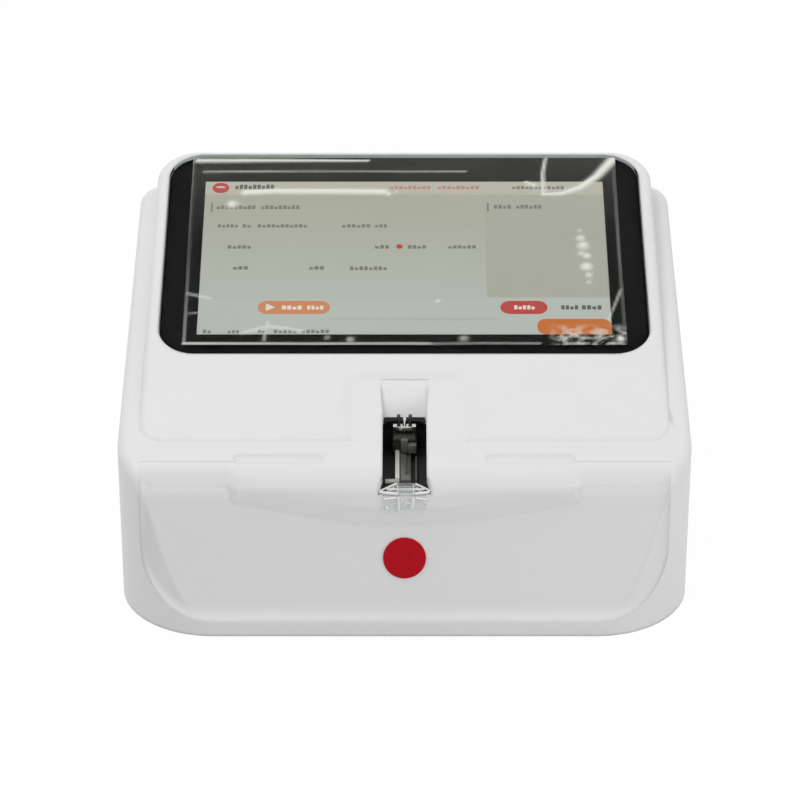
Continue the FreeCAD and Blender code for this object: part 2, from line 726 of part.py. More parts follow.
def plate(label, width, length, front, height, thickness, corner, window=None):
    """A padded rectangle with filleted corners and, where asked, a pocketed window."""
    body = document.addObject("PartDesign::Body", label)
    plane = next(item for item in body.Origin.OriginFeatures if item.Role == "XY_Plane")

    def rectangle(name, wide, deep, near):
        sketch = body.newObject("Sketcher::SketchObject", name)
        sketch.AttachmentSupport = [(plane, "")]
        sketch.MapMode = "FlatFace"
        ends = [Vector(-1, 0, 0), Vector(1, 0, 0), Vector(1, 1, 0), Vector(-1, 1, 0)]
        for i in range(4):
            sketch.addGeometry(Part.LineSegment(ends[i], ends[(i + 1) % 4]), False)
        for i in range(4):
            sketch.addConstraint(Sketcher.Constraint("Coincident", i, 2, (i + 1) % 4, 1))
        for i, way in ((1, "Vertical"), (2, "Horizontal"), (3, "Vertical")):
            sketch.addConstraint(Sketcher.Constraint(way, i))
        sketch.addConstraint(Sketcher.Constraint("Symmetric", 0, 1, 0, 2, -2))
        for name_, kind, text in (("wide", ("DistanceX", 0, 1, 0, 2), wide),
                                  ("deep", ("DistanceY", 1, 1, 1, 2), deep),
                                  ("near", ("DistanceY", -1, 1, 0, 1), near)):
            index = sketch.addConstraint(Sketcher.Constraint(*kind, 1.0))
            sketch.renameConstraint(index, name_)
            sketch.setExpression("Constraints." + name_, formula(text))
        return sketch

    sketch = rectangle(label + "_outline", width, length, front)
    pad = body.newObject("PartDesign::Pad", label + "_pad")
    pad.Profile = sketch
    pad.setExpression("Length", formula(thickness))
    document.recompute()
    upright = [n for n, edge in enumerate(pad.Shape.Edges, 1)
               if abs(edge.Vertexes[0].Z - edge.Vertexes[-1].Z) > 1e-6]
    fillet = body.newObject("PartDesign::Fillet", label + "_corners")
    fillet.Base = (pad, ["Edge%d" % n for n in upright])
    fillet.setExpression("Radius", formula(corner))
    if window:
        hole = rectangle(label + "_window", *window)
        pocket = body.newObject("PartDesign::Pocket", label + "_pocket")
        pocket.Profile = hole
        pocket.Type = "ThroughAll"
        pocket.Midplane = True
    document.recompute()
    lifted = deck.multiply(Placement(Vector(0, 0, height), Rotation()))
    return keep(body, label, lifted)


plate("touch_glass", "glass_width", "glass_length", "glass_front",
      size.glass_proud - size.glass_thickness, "glass_thickness", "glass_corner")
lcd_window = ("lcd_width + 2 * lcd_gap", "lcd_length + 2 * lcd_gap", "lcd_front - lcd_gap")
plate("glass_gasket", "glass_width - 2 * gasket_inset", "glass_length - 2 * gasket_inset",
      "glass_front + gasket_inset", pocket_floor, "gasket_thickness", "glass_corner - gasket_inset", lcd_window)
lcd_top = size.glass_proud - size.glass_thickness - size.lcd_gap
lcd_under = lcd_top - size.lcd_thickness
plate("lcd_panel", "lcd_width", "lcd_length", "lcd_front", lcd_under, "lcd_thickness", "lcd_corner")
plate("screen_film", "film_width", "film_length", "film_front", size.glass_proud, "film_thickness",
      "film_corner")


def lcd_frame():
    """A sheet tray behind the display, with flanges up to the moulded ledge."""
    rim = "(frame_sheet + lcd_gap)"
    under = "(glass_proud - glass_thickness - lcd_gap - lcd_thickness)"
    tray = block("frame_tray", "lcd_width + 2 * " + rim, "lcd_length + 2 * " + rim,
                 "lcd_gap + frame_sheet - ledge_depth - " + under, "-lcd_width / 2 - " + rim,
                 "lcd_front - " + rim, under + " - lcd_gap - frame_sheet")
    hollow = block("frame_hollow", "lcd_width + 2 * lcd_gap", "lcd_length + 2 * lcd_gap", "lcd_thickness * 3",
                   "-lcd_width / 2 - lcd_gap", "lcd_front - lcd_gap", under + " - lcd_gap")
    window = block("frame_window", "lcd_width - 2 * frame_border", "lcd_length - 2 * frame_border",
                   "lcd_thickness * 4", "-lcd_width / 2 + frame_border", "lcd_front + frame_border",
                   "-lcd_thickness * 3")
    flange = block("frame_flanges", "lcd_width + 2 * frame_flange + 2 * " + rim, "lcd_length / 2",
                   "frame_sheet", "-lcd_width / 2 - frame_flange - " + rim, "lcd_front + lcd_length / 4",
                   "-ledge_depth - frame_sheet")
    body = less("frame_body", joined("frame_blank", [tray, flange]), [hollow, window])
    holes = [rod("frame_tapping_%d" % n, "frame_hole", "lcd_thickness * 4", x, y, "-lcd_thickness * 3")
             for n, (x, y) in enumerate(frame_screw_places())]
    return keep(less("frame_holed", body, holes), "lcd_frame", deck)


def frame_screw_places():
    out = "lcd_width / 2 + frame_sheet + lcd_gap + frame_flange / 2"
    return [(way + "(%s)" % out, "lcd_front + lcd_length * %s" % share)
            for way in ("-", "") for share in ("0.3", "0.7")]


lcd_frame()


def frame_screws():
    screws = []
    for n, (x, y) in enumerate(frame_screw_places()):
        head = rod("display_screw_head_%d" % n, "frame_screw_head", "frame_screw_rise", x, y,
                   "-ledge_depth - frame_sheet - frame_screw_rise")
        shank = rod("display_screw_shank_%d" % n, "frame_screw_shank", "frame_sheet", x, y,
                    "-ledge_depth - frame_sheet")
        screws.append(joined("frame_screw_%d" % n, [head, shank]))
    return keep(grouped("frame_screw_set", screws), "frame_screws", deck)


frame_screws()


# Round mark on the front panel

badge_place = panel.multiply(Placement(Vector(0, -size.badge_drop, -size.recess_depth), Rotation()))
keep(bound("Part::Cylinder", "badge", Radius="badge_diameter / 2", Height="badge_thickness"),
     "front_badge", badge_place)


# Test position

def slot_liner():
    """A black trough under the slot, trimmed to the inside of the casing."""
    half = size.mouth_width / 2 + size.liner_wall
    back = size.slot_back + 2 * size.liner_gap + size.liner_wall
    low = floor_top - size.liner_wall
    outer = Part.makeBox(2 * half, back, ABOVE, Vector(-half, 0, low))
    hollow = Part.makeBox(size.mouth_width, back - size.liner_wall, ABOVE,
                          Vector(-size.mouth_width / 2, 0, floor_top))
    room = casing_form(size.wall + size.liner_gap, -ABOVE)
    trough = outer.cut(hollow).common(room)
    return trough.cut(scoop_block(size.wall + size.liner_gap, corner_along + size.liner_gap)).removeSplitter()


shaped("slot_liner", slot_liner())

floor_z = "foot_height + slot_floor"
holder_top = floor_z + " + holder_height"
post_y = "holder_front + holder_depth / 2"


def cell_holder():
    blank = block("holder_blank", "holder_width", "holder_depth", "holder_height",
                  "-holder_width / 2", "holder_front", floor_z)
    rounding = document.addObject("Part::Fillet", "holder_rounded")
    rounding.Base = blank
    document.recompute()
    top = floor_top + size.holder_height
    edges = [n for n, e in enumerate(blank.Shape.Edges, 1) if min(v.Z for v in e.Vertexes) > top - 1e-6]
    rounding.Edges = [(n, size.holder_round, size.holder_round) for n in edges]
    tunnel = block("holder_tunnel", "strip_width + 2 * clip_gap", "holder_depth / 2", "strip_height + clip_gap",
                   "strip_place - strip_width / 2 - clip_gap", "holder_front", floor_z)
    well = rod("holder_well", "pin_diameter + 2 * clip_gap", "holder_height", "0", post_y,
               holder_top + " - pin_well")
    sockets = [rod("holder_socket_%d" % n, "post_diameter", "holder_height", way + "post_spacing / 2", post_y,
                   holder_top + " - post_diameter") for n, way in enumerate(("-", ""))]
    return keep(less("holder_cut", rounding, [tunnel, well] + sockets), "cell_holder")


cell_holder()


def guide_posts():
    length = "post_diameter + head_lift + head_height + head_travel + post_above"
    posts = [rod("post_%d" % n, "post_diameter", length, way + "post_spacing / 2", post_y,
                 holder_top + " - post_diameter") for n, way in enumerate(("-", ""))]
    return keep(grouped("post_pair", posts), "guide_posts")


guide_posts()


def contact_head():
    low = holder_top + " + head_lift"
    bar = block("head_blank", "head_width", "head_bar", "head_height", "-head_width / 2",
                post_y + " - head_bar / 2", low)
    pin = rod("head_pin", "pin_diameter", "pin_well - clip_gap + head_lift + head_height + pin_above",
              "0", post_y, holder_top + " - pin_well + clip_gap")
    tip = bound("Part::Cone", "head_tip", Radius1="pin_diameter / 2", Radius2="pin_diameter / 4",
                Height="pin_diameter / 2")
    at(tip, "0", post_y, low + " + head_height + pin_above")
    eyes = [rod("head_eye_%d" % n, "post_diameter + 2 * post_clearance", "head_height * 3",
                way + "post_spacing / 2", post_y, low + " - head_height") for n, way in enumerate(("-", ""))]
    return keep(less("head_cut", joined("head_solid", [bar, pin, tip]), eyes), "contact_head")


contact_head()


def optic_block():
    rise = block("optic_rise", "optic_width", "optic_depth", "optic_height", "-optic_width / 2",
                 "holder_front - optic_depth", floor_z + " + strip_height + clip_gap")
    step = block("optic_step_block", "optic_step", "optic_reach", "optic_height - strip_height",
                 "optic_width / 2", "holder_front - optic_reach", floor_z + " + strip_height + clip_gap")
    return keep(joined("optic_body", [rise, step]), "optic_block")


optic_block()


def guide_clip():
    """A white L: a low wall beside the strip with a foot towards the liner wall."""
    right = "strip_place - strip_width / 2 - clip_gap"
    wall_run = block("clip_wall", "clip_thickness", "holder_front - strip_front - clip_gap", "clip_height",
                     right + " - clip_thickness", "strip_front", floor_z)
    foot = block("clip_toe", "clip_foot", "clip_thickness", "clip_height / 2",
                 right + " - clip_thickness - clip_foot", "strip_front", floor_z)
    return keep(joined("clip_body", [wall_run, foot]), "guide_clip")


guide_clip()

keep(block("rail_body", "rail_width", "holder_front - strip_front - 2 * optic_depth", "rail_height",
           "strip_place + strip_width / 2 + clip_thickness", "strip_front", floor_z), "guide_rail")


def test_cartridge():
    """The strip that lies in the slot, with its sample groove."""
    strip = block("strip_blank", "strip_width", "holder_front + holder_depth / 2 - clip_gap - strip_front",
                  "strip_height", "strip_place - strip_width / 2", "strip_front", floor_z)
    groove = block("strip_channel", "strip_groove", "holder_front - strip_front", "strip_height",
                   "strip_place + strip_groove_place", "strip_front + strip_width",
                   floor_z + " + strip_height - strip_groove_depth")
    return keep(less("strip_cut", strip, [groove]), "test_cartridge")


test_cartridge()


def cartridge_grip():
    """The clear grip: it widens to the mouth and hooks over the front edge of the slot."""
    thin, wide, narrow = size.grip_thickness, size.mouth_width / 2 - size.liner_wall, size.grip_root
    edge = meet(Vector(0, 0, floor_top), Vector(0, 1, 0), lip_top, direction(size.panel_slope))
    lift = size.clip_gap / 2
    corners = [Vector(-narrow, size.strip_front - lift, 0), Vector(narrow, size.strip_front - lift, 0),
               Vector(wide, edge.y + thin, 0), Vector(wide, edge.y - thin, 0),
               Vector(-wide, edge.y - thin, 0), Vector(-wide, edge.y + thin, 0)]
    flat = prism(Part.makePolygon(corners + corners[:1]), thin)
    flat.translate(Vector(0, 0, floor_top))
    hang = Part.makeBox(2 * wide, size.grip_lip, thin, Vector(-wide, -size.grip_lip, lift))
    hang.Placement = Placement(edge, Rotation(Vector(1, 0, 0), size.panel_slope))
    ribs = [Part.makeBox(2 * narrow, thin, 2 * thin, Vector(-narrow, edge.y + size.rib_pitch * row, floor_top))
            for row in range(1, GRIP_RIBS + 1)]
    return flat.fuse([hang] + ribs).removeSplitter()


shaped("cartridge_grip", cartridge_grip())

heater_z = floor_z + " - liner_wall - heater_thickness"
keep(block("heater_body", "heater_width", "heater_length", "heater_thickness", "-heater_width / 2",
           "slot_back - heater_length", heater_z), "heater_plate")


def detector_board():
    board = block("sensor_blank", "sensor_width", "sensor_length", "board_thickness", "-sensor_width / 2",
                  "slot_back - heater_length", heater_z + " - board_thickness")
    chip = block("sensor_chip", "heater_width / 2", "heater_width / 2", "board_thickness", "-heater_width / 4",
                 "slot_back - heater_length / 2", heater_z + " - 2 * board_thickness")
    return keep(joined("sensor_body", [board, chip]), "detector_board")


detector_board()


# Base

def bottom_cover():
    """A tray that closes the casing from below, with an upstand, pockets and slots."""
    low, inset = size.foot_height, size.wall + size.base_gap
    tray = prism(plan_wire(inset, low), size.base_plate + size.base_rim)
    room = casing_form(inset, low - OVER)
    tray = tray.common(room)
    tray = tray.cut(prism(plan_wire(inset + size.base_plate, base_top), ABOVE))
    cuts = []
    for x, y in foot_places():
        cuts.append(Part.makeCylinder(size.foot_diameter / 2, size.foot_sink, Vector(x, y, low)))
    for x, y in column_places():
        cuts.append(Part.makeCylinder(size.screw_diameter / 2, ABOVE, Vector(x, y, low - OVER)))
        cuts.append(Part.makeCylinder(size.screw_head / 2, size.base_plate / 2, Vector(x, y, low)))
        cuts.append(Part.makeCylinder(size.boss_diameter / 2 + size.base_gap, ABOVE, Vector(x, y, base_top)))
    for n in range(BASE_SLOTS):
        x = (n - (BASE_SLOTS - 1) / 2) * size.vent_pitch
        y = size.body_depth / 2 - size.vent_length / 2
        cuts.append(Part.makeBox(size.vent_height, size.vent_length, ABOVE, Vector(x, y, low - OVER)))
    return tray.cut(cuts).removeSplitter()


shaped("bottom_cover", bottom_cover())


def rubber_feet():
    feet = []
    for n, (x, y) in enumerate(foot_places()):
        pad = bound("Part::Cone", "foot_%d" % n, Radius1="foot_diameter / 2 - foot_sink",
                    Radius2="foot_diameter / 2", Height="foot_height + foot_sink")
        pad.Placement.Base = Vector(x, y, 0)
        feet.append(pad)
    return keep(grouped("foot_set", feet), "rubber_feet")


rubber_feet()


def base_screws():
    screws = []
    for n, (x, y) in enumerate(column_places()):
        head = rod("case_screw_head_%d" % n, "screw_head - port_gap", "base_plate / 2 - port_gap", x, y,
                   "foot_height + port_gap")
        shank = rod("case_screw_shank_%d" % n, "screw_diameter", "screw_length - port_gap", x, y,
                    "foot_height + port_gap")
        screws.append(joined("case_screw_%d" % n, [head, shank]))
    return keep(grouped("case_screw_set", screws), "base_screws")


base_screws()


# Main board and what it carries

board_z = "foot_height + base_plate + standoff_height"
board_y = "body_depth - wall - board_gap - board_length"
on_board = board_z + " + board_thickness"


def board_places():
    side = "(board_width / 2 - board_margin)"
    near, far = board_y + " + board_margin", board_y + " + board_length - 5 * board_margin"
    return [(way + side, y) for way in ("-", "") for y in (near, far)]


def main_board():
    board = block("board_blank", "board_width", "board_length", "board_thickness", "-board_width / 2", board_y,
                  board_z)
    holes = [rod("board_hole_%d" % n, "screw_diameter", "3 * board_thickness", x, y,
                 board_z + " - board_thickness") for n, (x, y) in enumerate(board_places())]
    return keep(less("board_drilled", board, holes), "main_board")


main_board()


def standoffs():
    """Hexagonal posts with a tapped hole from above."""
    posts = []
    for n, (x, y) in enumerate(board_places()):
        post = bound("Part::Prism", "standoff_post_%d" % n, Circumradius="standoff_diameter / 2",
                     Height="standoff_height")
        post.Polygon = 6
        at(post, x, y, "foot_height + base_plate")
        bore = rod("standoff_bore_%d" % n, "board_screw", "standoff_height", x, y,
                   "foot_height + base_plate + standoff_height / 3")
        posts.append(less("standoff_%d" % n, post, [bore]))
    return keep(grouped("standoff_set", posts), "board_standoffs")


standoffs()


def board_screws():
    screws = []
    for n, (x, y) in enumerate(board_places()):
        head = rod("board_screw_head_%d" % n, "standoff_diameter", "board_thickness", x, y, on_board)
        shank = rod("board_screw_shank_%d" % n, "board_screw", "standoff_height / 2 + board_thickness", x, y,
                    board_z + " - standoff_height / 2")
        screws.append(joined("board_screw_body_%d" % n, [head, shank]))
    return keep(grouped("board_screw_set", screws), "board_screws")


board_screws()

keep(block("shield_can", "shield_width", "shield_length", "shield_height", "-shield_width / 2",
           board_y + " + board_margin * 2", on_board), "processor_shield")


def ribbon_cable():
    """The flat cable from the board's front edge up to the back of the display."""
    foot = Vector(0, size.body_depth - size.wall - size.board_gap - size.board_length + size.board_margin,
                  port_base)
    back = deck.multVec(Vector(0, size.lcd_front + size.lcd_length / 2, lcd_under - size.port_gap))
    thick = size.ribbon_thickness
    lean = Vector(0, back.y - foot.y, back.z - foot.z).normalize()
    across = Vector(0, -lean.z, lean.y) * thick
    run = [foot, foot - Vector(0, thick, 0), back + across, back]
    ribbon = Part.Face(Part.makePolygon(run + run[:1])).extrude(Vector(size.ribbon_width, 0, 0))
    ribbon.translate(Vector(size.shield_width / 2 + size.board_margin, 0, 0))
    return ribbon


shaped("ribbon_cable", ribbon_cable())

keep(rod("speaker_body", "speaker_diameter", "speaker_height", "-speaker_side", "speaker_place",
         "foot_height + base_plate"), "speaker")


# Rear side

def dc_inlet():
    wall_y = "body_depth - port_depth"
    body = block("jack_body", "jack_width", "port_depth", "jack_height", "jack_place - jack_width / 2", wall_y,
                 on_board)
    bore = rod("jack_hole", "jack_bore", "port_depth", "jack_place", wall_y + " + wall",
               on_board + " + jack_height / 2", "Y")
    pin = rod("jack_pin", "jack_bore / 3", "port_depth - 2 * wall", "jack_place", wall_y + " + wall / 2",
              on_board + " + jack_height / 2", "Y")
    return keep(joined("jack_joined", [less("jack_bored", body, [bore]), pin]), "dc_inlet")


dc_inlet()


def usb_ports():
    ports = []
    for n in range(2):
        middle = "usb_place + %d * usb_pitch" % n
        shell = block("usb_shell_%d" % n, "usb_width", "port_depth", "usb_height", middle + " - usb_width / 2",
                      "body_depth - port_depth", on_board)
        room = block("usb_hollow_%d" % n, "usb_width - 2 * usb_sheet", "port_depth", "usb_height - 2 * usb_sheet",
                     middle + " - usb_width / 2 + usb_sheet", "body_depth - port_depth + wall",
                     on_board + " + usb_sheet")
        tongue = block("usb_blade_%d" % n, "usb_width - 2 * usb_sheet - 2 * usb_room", "port_depth - wall",
                       "usb_tongue", middle + " - usb_width / 2 + usb_sheet + usb_room",
                       "body_depth - port_depth + wall / 2", on_board + " + usb_height / 2")
        ports.append(joined("usb_%d" % n, [less("usb_open_%d" % n, shell, [room]), tongue]))
    return keep(grouped("usb_pair", ports), "usb_ports")


usb_ports()


def serial_port():
    """The nine-way socket: its flange, the shell that stands out and two hexagonal nuts."""
    flange = block("serial_flange", "serial_width", "wall", "serial_height", "serial_place - serial_width / 2",
                   "body_depth - wall", on_board)
    body = block("serial_inside", "serial_body", "port_depth", "serial_height", "serial_place - serial_body / 2",
                 "body_depth - port_depth", on_board)
    nose = block("serial_front", "serial_shell", "wall + serial_nose", "serial_rise",
                 "serial_place - serial_shell / 2", "body_depth - wall",
                 on_board + " + (serial_height - serial_rise) / 2")
    nuts = []
    for n, way in enumerate(("-", "+")):
        nut = bound("Part::Prism", "serial_hexagon_%d" % n, Circumradius="serial_nut / 2",
                    Height="wall + serial_nose / 2")
        nut.Polygon = 6
        nut.Placement.Rotation = Rotation(Vector(1, 0, 0), -90)
        nuts.append(at(nut, "serial_place " + way + " serial_nut_place", "body_depth - wall",
                       on_board + " + serial_height / 2"))
    return keep(joined("serial_solid", [flange, body, nose] + nuts), "serial_port")


serial_port()

pivot = Vector(size.switch_place, size.body_depth - size.wall / 2, size.switch_rise)


def switch_frame():
    flange = block("switch_plate", "switch_width", "switch_flange", "switch_height",
                   "switch_place - switch_width / 2", "body_depth", "switch_rise - switch_height / 2")
    can = block("switch_can", "switch_width - 2 * switch_flange", "port_depth + wall",
                "switch_height - 2 * switch_flange", "switch_place - switch_width / 2 + switch_flange",
                "body_depth - port_depth - wall", "switch_rise - switch_height / 2 + switch_flange")
    well = rod("switch_well", "2 * (rocker_radius + rocker_gap)", "rocker_width + 2 * rocker_gap",
               "switch_place - rocker_width / 2 - rocker_gap", "body_depth - wall / 2", "switch_rise", "X")
    bearing = rod("switch_bearing", "rocker_pin + 2 * rocker_pin_clearance",
                  "rocker_width + 2 * rocker_pin_reach + 2 * rocker_pin_clearance",
                  "switch_place - rocker_width / 2 - rocker_pin_reach - rocker_pin_clearance",
                  "body_depth - wall / 2", "switch_rise", "X")
    return keep(less("switch_cut", joined("switch_solid", [flange, can]), [well, bearing]), "switch_frame")


switch_frame()


def power_rocker():
    """A rocker with a shallow V face, at rest with its lower end pressed in."""
    radius, half = size.rocker_radius, size.rocker_width / 2
    drum = Part.makeCylinder(radius, 2 * half, Vector(-half, 0, 0), Vector(1, 0, 0))
    dish = size.rocker_throw / 2
    reach = size.wall / 2 + size.switch_flange
    wide, tall = 2 * (half + OVER), 3 * radius
    drum = drum.cut(Part.makeBox(wide, radius, tall, Vector(-half - OVER, reach + OVER, -tall / 2)))
    for way in (1, -1):
        face = Part.makeBox(wide, tall, tall, Vector(-half - OVER, 0, 0 if way > 0 else -tall))
        face.Placement = Placement(Vector(0, reach, 0), Rotation(Vector(1, 0, 0), -way * dish))
        drum = drum.cut(face)
    end = half + size.rocker_pin_reach
    trunnions = Part.makeCylinder(size.rocker_pin / 2, 2 * end, Vector(-end, 0, 0), Vector(1, 0, 0))
    drum = drum.fuse(trunnions).removeSplitter()
    drum.rotate(Vector(0, 0, 0), Vector(1, 0, 0), -dish)
    return drum


shaped("power_rocker", power_rocker(), Placement(pivot, Rotation()))


# Checks and files

def write_parts():
    document.recompute()
    for item in document.Objects:
        if {"Invalid", "Error"} & set(item.State):
            raise RuntimeError("%s did not build" % item.Label)
    os.makedirs("parts", exist_ok=True)
    shift = Placement(Vector(0, -(size.body_depth + size.serial_nose) / 2, 0), Rotation())
    for item in kept:
        shape = item.Shape.copy()
        if shape.isNull() or not shape.isValid():
            raise RuntimeError("%s is not a sound shape" % item.Label)
        shape.Placement = shift.multiply(shape.Placement)
        shape.exportStep("parts/%s.step" % item.Label)
        print("%-18s solids %d volume %.1f" % (item.Label, len(shape.Solids), shape.Volume))


write_parts()
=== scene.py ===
"""The looks of a desktop coagulation analyzer, laid over its fixed frame of solids."""
import math

import bmesh
import bpy
from bpy.props import FloatProperty, FloatVectorProperty, PointerProperty
from bpy.types import Operator, Panel, PropertyGroup
from mathutils import Matrix, Vector, noise


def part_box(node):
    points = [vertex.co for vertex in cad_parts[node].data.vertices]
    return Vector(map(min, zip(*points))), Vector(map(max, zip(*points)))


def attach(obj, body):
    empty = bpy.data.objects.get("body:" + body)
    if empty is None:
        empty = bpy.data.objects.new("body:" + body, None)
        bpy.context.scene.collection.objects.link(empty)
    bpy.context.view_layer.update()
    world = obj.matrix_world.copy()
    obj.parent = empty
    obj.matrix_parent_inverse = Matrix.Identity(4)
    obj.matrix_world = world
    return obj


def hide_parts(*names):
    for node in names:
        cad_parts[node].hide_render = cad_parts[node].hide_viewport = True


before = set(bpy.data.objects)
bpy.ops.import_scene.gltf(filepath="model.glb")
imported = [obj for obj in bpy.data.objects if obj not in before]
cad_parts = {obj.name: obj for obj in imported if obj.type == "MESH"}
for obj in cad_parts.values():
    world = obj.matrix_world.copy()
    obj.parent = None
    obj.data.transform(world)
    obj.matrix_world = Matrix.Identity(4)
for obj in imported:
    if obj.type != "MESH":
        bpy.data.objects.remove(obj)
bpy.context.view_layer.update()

bl_info = {
    "name": "Coagulation Analyzer Looks",
    "version": (1, 0, 0),
    "blender": (4, 5, 0),
    "location": "View3D > Sidebar > Analyzer",
    "description": "Finishes, lit display, wrinkled film and studio for the analyzer's solids",
    "category": "Object",
}

# Driving sizes, in millimetres unless the name says otherwise

MM = 0.001
LIP_HEIGHT = 5.7
PANEL_LENGTH = 54.7
PANEL_SLOPE = math.radians(77.4)
DECK_SLOPE = math.radians(16.0)
CASE_LOW, CASE_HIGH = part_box("top_cover")
FOLD = Vector((
    0.0,
    CASE_LOW.y / MM + PANEL_LENGTH * math.cos(PANEL_SLOPE),
    CASE_LOW.z / MM + LIP_HEIGHT + PANEL_LENGTH * math.sin(PANEL_SLOPE),
))
ROW = Matrix.Scale(MM, 4)
DECK = ROW @ Matrix.Translation(FOLD) @ Matrix.Rotation(DECK_SLOPE, 4, "X")
PANEL = ROW @ Matrix.Translation(FOLD) @ Matrix.Rotation(PANEL_SLOPE, 4, "X")

GLASS_WIDTH = 182.2
GLASS_LENGTH = 111.5
GLASS_CORNER = 13.5
GLASS_FRONT = 63.6
GLASS_TOP = 0.3
GLASS_UNDER = -1.5
PRINT_TOP, PRINT_UNDER = GLASS_UNDER - 0.01, GLASS_UNDER - 0.07
PRINT_RIM, PRINT_LAP = 0.15, 0.2
BORDER_STEPS = 12
LCD_TOP = -1.8
DISPLAY_WIDTH = 154.2
DISPLAY_LENGTH = 85.9
DISPLAY_FRONT = 75.2
DISPLAY_CORNER = 0.4
FIELD_LAYER, GROUND_GAP = 0.03, 0.005

FILM_WIDTH = 164.8
FILM_LENGTH = 105.5
FILM_FRONT = 67.5
FILM_STEP = 0.9
FILM_SHEET = 0.08
FILM_GAP, FILM_SWELL, FILM_TOUCH = 0.12, 0.10, 0.01
SWELL_ACROSS, SWELL_UP, SWELL_LEVEL = 21.0, 17.0, 1.0
CRUMPLE_SIDE, CRUMPLE_SIDE_RUN = 53.0, 6.0
CRUMPLE_REAR, CRUMPLE_REAR_RUN = 79.0, 5.0
# The first number is how white the crushed corner's folds show: a painted glare highlight over real
# whitening.
CRUMPLE_WHITENING_AND_GLARE, CRUMPLE_FLOOR = 0.7, 0.25
# Folds of the crumple, coarse and fine: size across and up, level in the noise, sharpness, share
CRUMPLE_FOLDS = ((5.0, 3.4, 4.0, 3.2, 0.65), (2.2, 1.8, 9.0, 3.0, 0.35))

NOSE_RADIUS = 14.0
CASE_HALF = (CASE_HIGH.x - CASE_LOW.x) / 2 / MM
CASE_FRONT = CASE_LOW.y / MM
FRONT_CORNER = 34.5
BISECTOR = (DECK_SLOPE + PANEL_SLOPE) / 2
NOSE = FOLD + Vector((0.0, math.sin(BISECTOR), -math.cos(BISECTOR))) * (
    NOSE_RADIUS / math.cos((PANEL_SLOPE - DECK_SLOPE) / 2))
RECESS_WIDTH = 182.0
RECESS_BOTTOM = 47.6
RECESS_CORNER = 17.0
RECESS_SIDE = 3.6
RECESS_COVE = 6.4
SHELF_WIDTH = 118.0
SHELF_RUN = 5.0
SHELF_NEAR = 8.0
RECESS_DEPTH = 1.8

# Soft cuts in the casing: how far they go and in how many steps; angles are degrees round the nose
FLOOR_SINK = 1.818
STAND_OFF = 0.02
CUTTER_FRONT = 2.0
CUTTER_DEPTH = 5.0
RUN_OUTER, RUN_SPAN, RUN_STEPS = 1.03, 1.08, 14
SIDE_POWER, FOOT_POWER = 2.0, 4.0
SIDE_STEPS, TURN_STEPS = 12, 14
PANEL_TOP = 34.0
BROW_START, BROW_END = 73.0, 32.0
BROW_COLUMNS, BROW_ROWS = 24, 13
FILLING_START = 66.0
FILLING_PROUD, FILLING_DEPTH = 0.01, 3.4
FILLING_STEPS, FILLING_BACK_STEPS = 14, 3
FILLING = (
    (SHELF_NEAR, 44.0),
    (SHELF_WIDTH / 2 - 1.2, 44.0),
    (SHELF_WIDTH / 2 - 1.0, PANEL_TOP),
    (RECESS_WIDTH / 2 + 0.5, PANEL_TOP),
)

SLOT_HALF = 7.9
SLOT_CORNER = 3.2
SLOT_BACK = 47.0
SLOT_FLOOR = CASE_LOW.z / MM + 52.4
SCOOP_DEPTH = 6.4
FLANGE_HALF = 7.55
FLANGE_CORNER = 3.4
FLANGE_BACK = 51.0
FLANGE_LAP = 0.05
FLANGE_ROOT, FLANGE_UNDER, FLANGE_TOP = -2.9, 0.01, 0.12
FLANGE_STEPS = 30
SLOT_EDGE = 10.4
RIDGE_LEVEL, LIP_LEVEL = 0.55, 0.7
RIDGE_PROFILE = ((-1.0, 0.0), (-0.6, 0.7), (0.0, 1.0), (0.6, 0.7), (1.0, 0.0))
RIDGE_RISE = 0.6

SERIAL_FACE = (22.0, 94.75, 18.4)
SERIAL_PITCH = 2.77
SERIAL_ROWS = ((5, -0.5), (4, 0.5))
INSERT_WIDTH, INSERT_HEIGHT, INSERT_CORNER = 14.6, 6.0, 1.6
CONTACT_WIDTH = 1.2
SOCKET_ROOT, INSERT_PROUD, CONTACT_PROUD = -0.1, 0.02, 0.03

BADGE_DIAMETER = 15.4
BADGE_THICKNESS = 0.6
BADGE_DROP = 30.6
DOME_RINGS, DISC_STEPS = 8, 64

CAMERA_AIM = Vector((-1.63, -94.75, 99.21)) * MM
CAMERA_DISTANCE = 1178.53 * MM
CAMERA_ELEVATION = math.radians(28.85)
CAMERA_FOCUS = 3400.0
PICTURE_WIDTH = 800.0
SENSOR = 36.0
KEY_PLACE, KEY_SIZE = (-0.6, 0.1, 1.5), 0.7
FILL_PLACE, FILL_SIZE = (0.7, -0.6, 0.3), 0.5
FLOOR_REACH = 3.0
BACKDROP_SHARE = 0.985
WHITE = (1.0, 1.0, 1.0, 1.0)

WELD = 0.001
FLAT_ANGLE, HARD_ANGLE = math.radians(1.0), math.radians(35.0)
SHARP_ANGLE, FILM_ANGLE = math.radians(38.0), math.radians(80.0)
STREAK_STRETCH = 14.0
RIM_STEPS = 4


def tint(red, green, blue):
    """A colour as it is seen, 0 to 255, turned into a shader's own numbers."""
    def linear(value):
        share = value / 255
        return share / 12.92 if share <= 0.04045 else ((share + 0.055) / 1.055) ** 2.4
    return (linear(red), linear(green), linear(blue), 1.0)


def opaque(colour):
    """A colour of a setting, with the fourth number that sockets ask for."""
    return (colour[0], colour[1], colour[2], 1.0)


# Shader writing

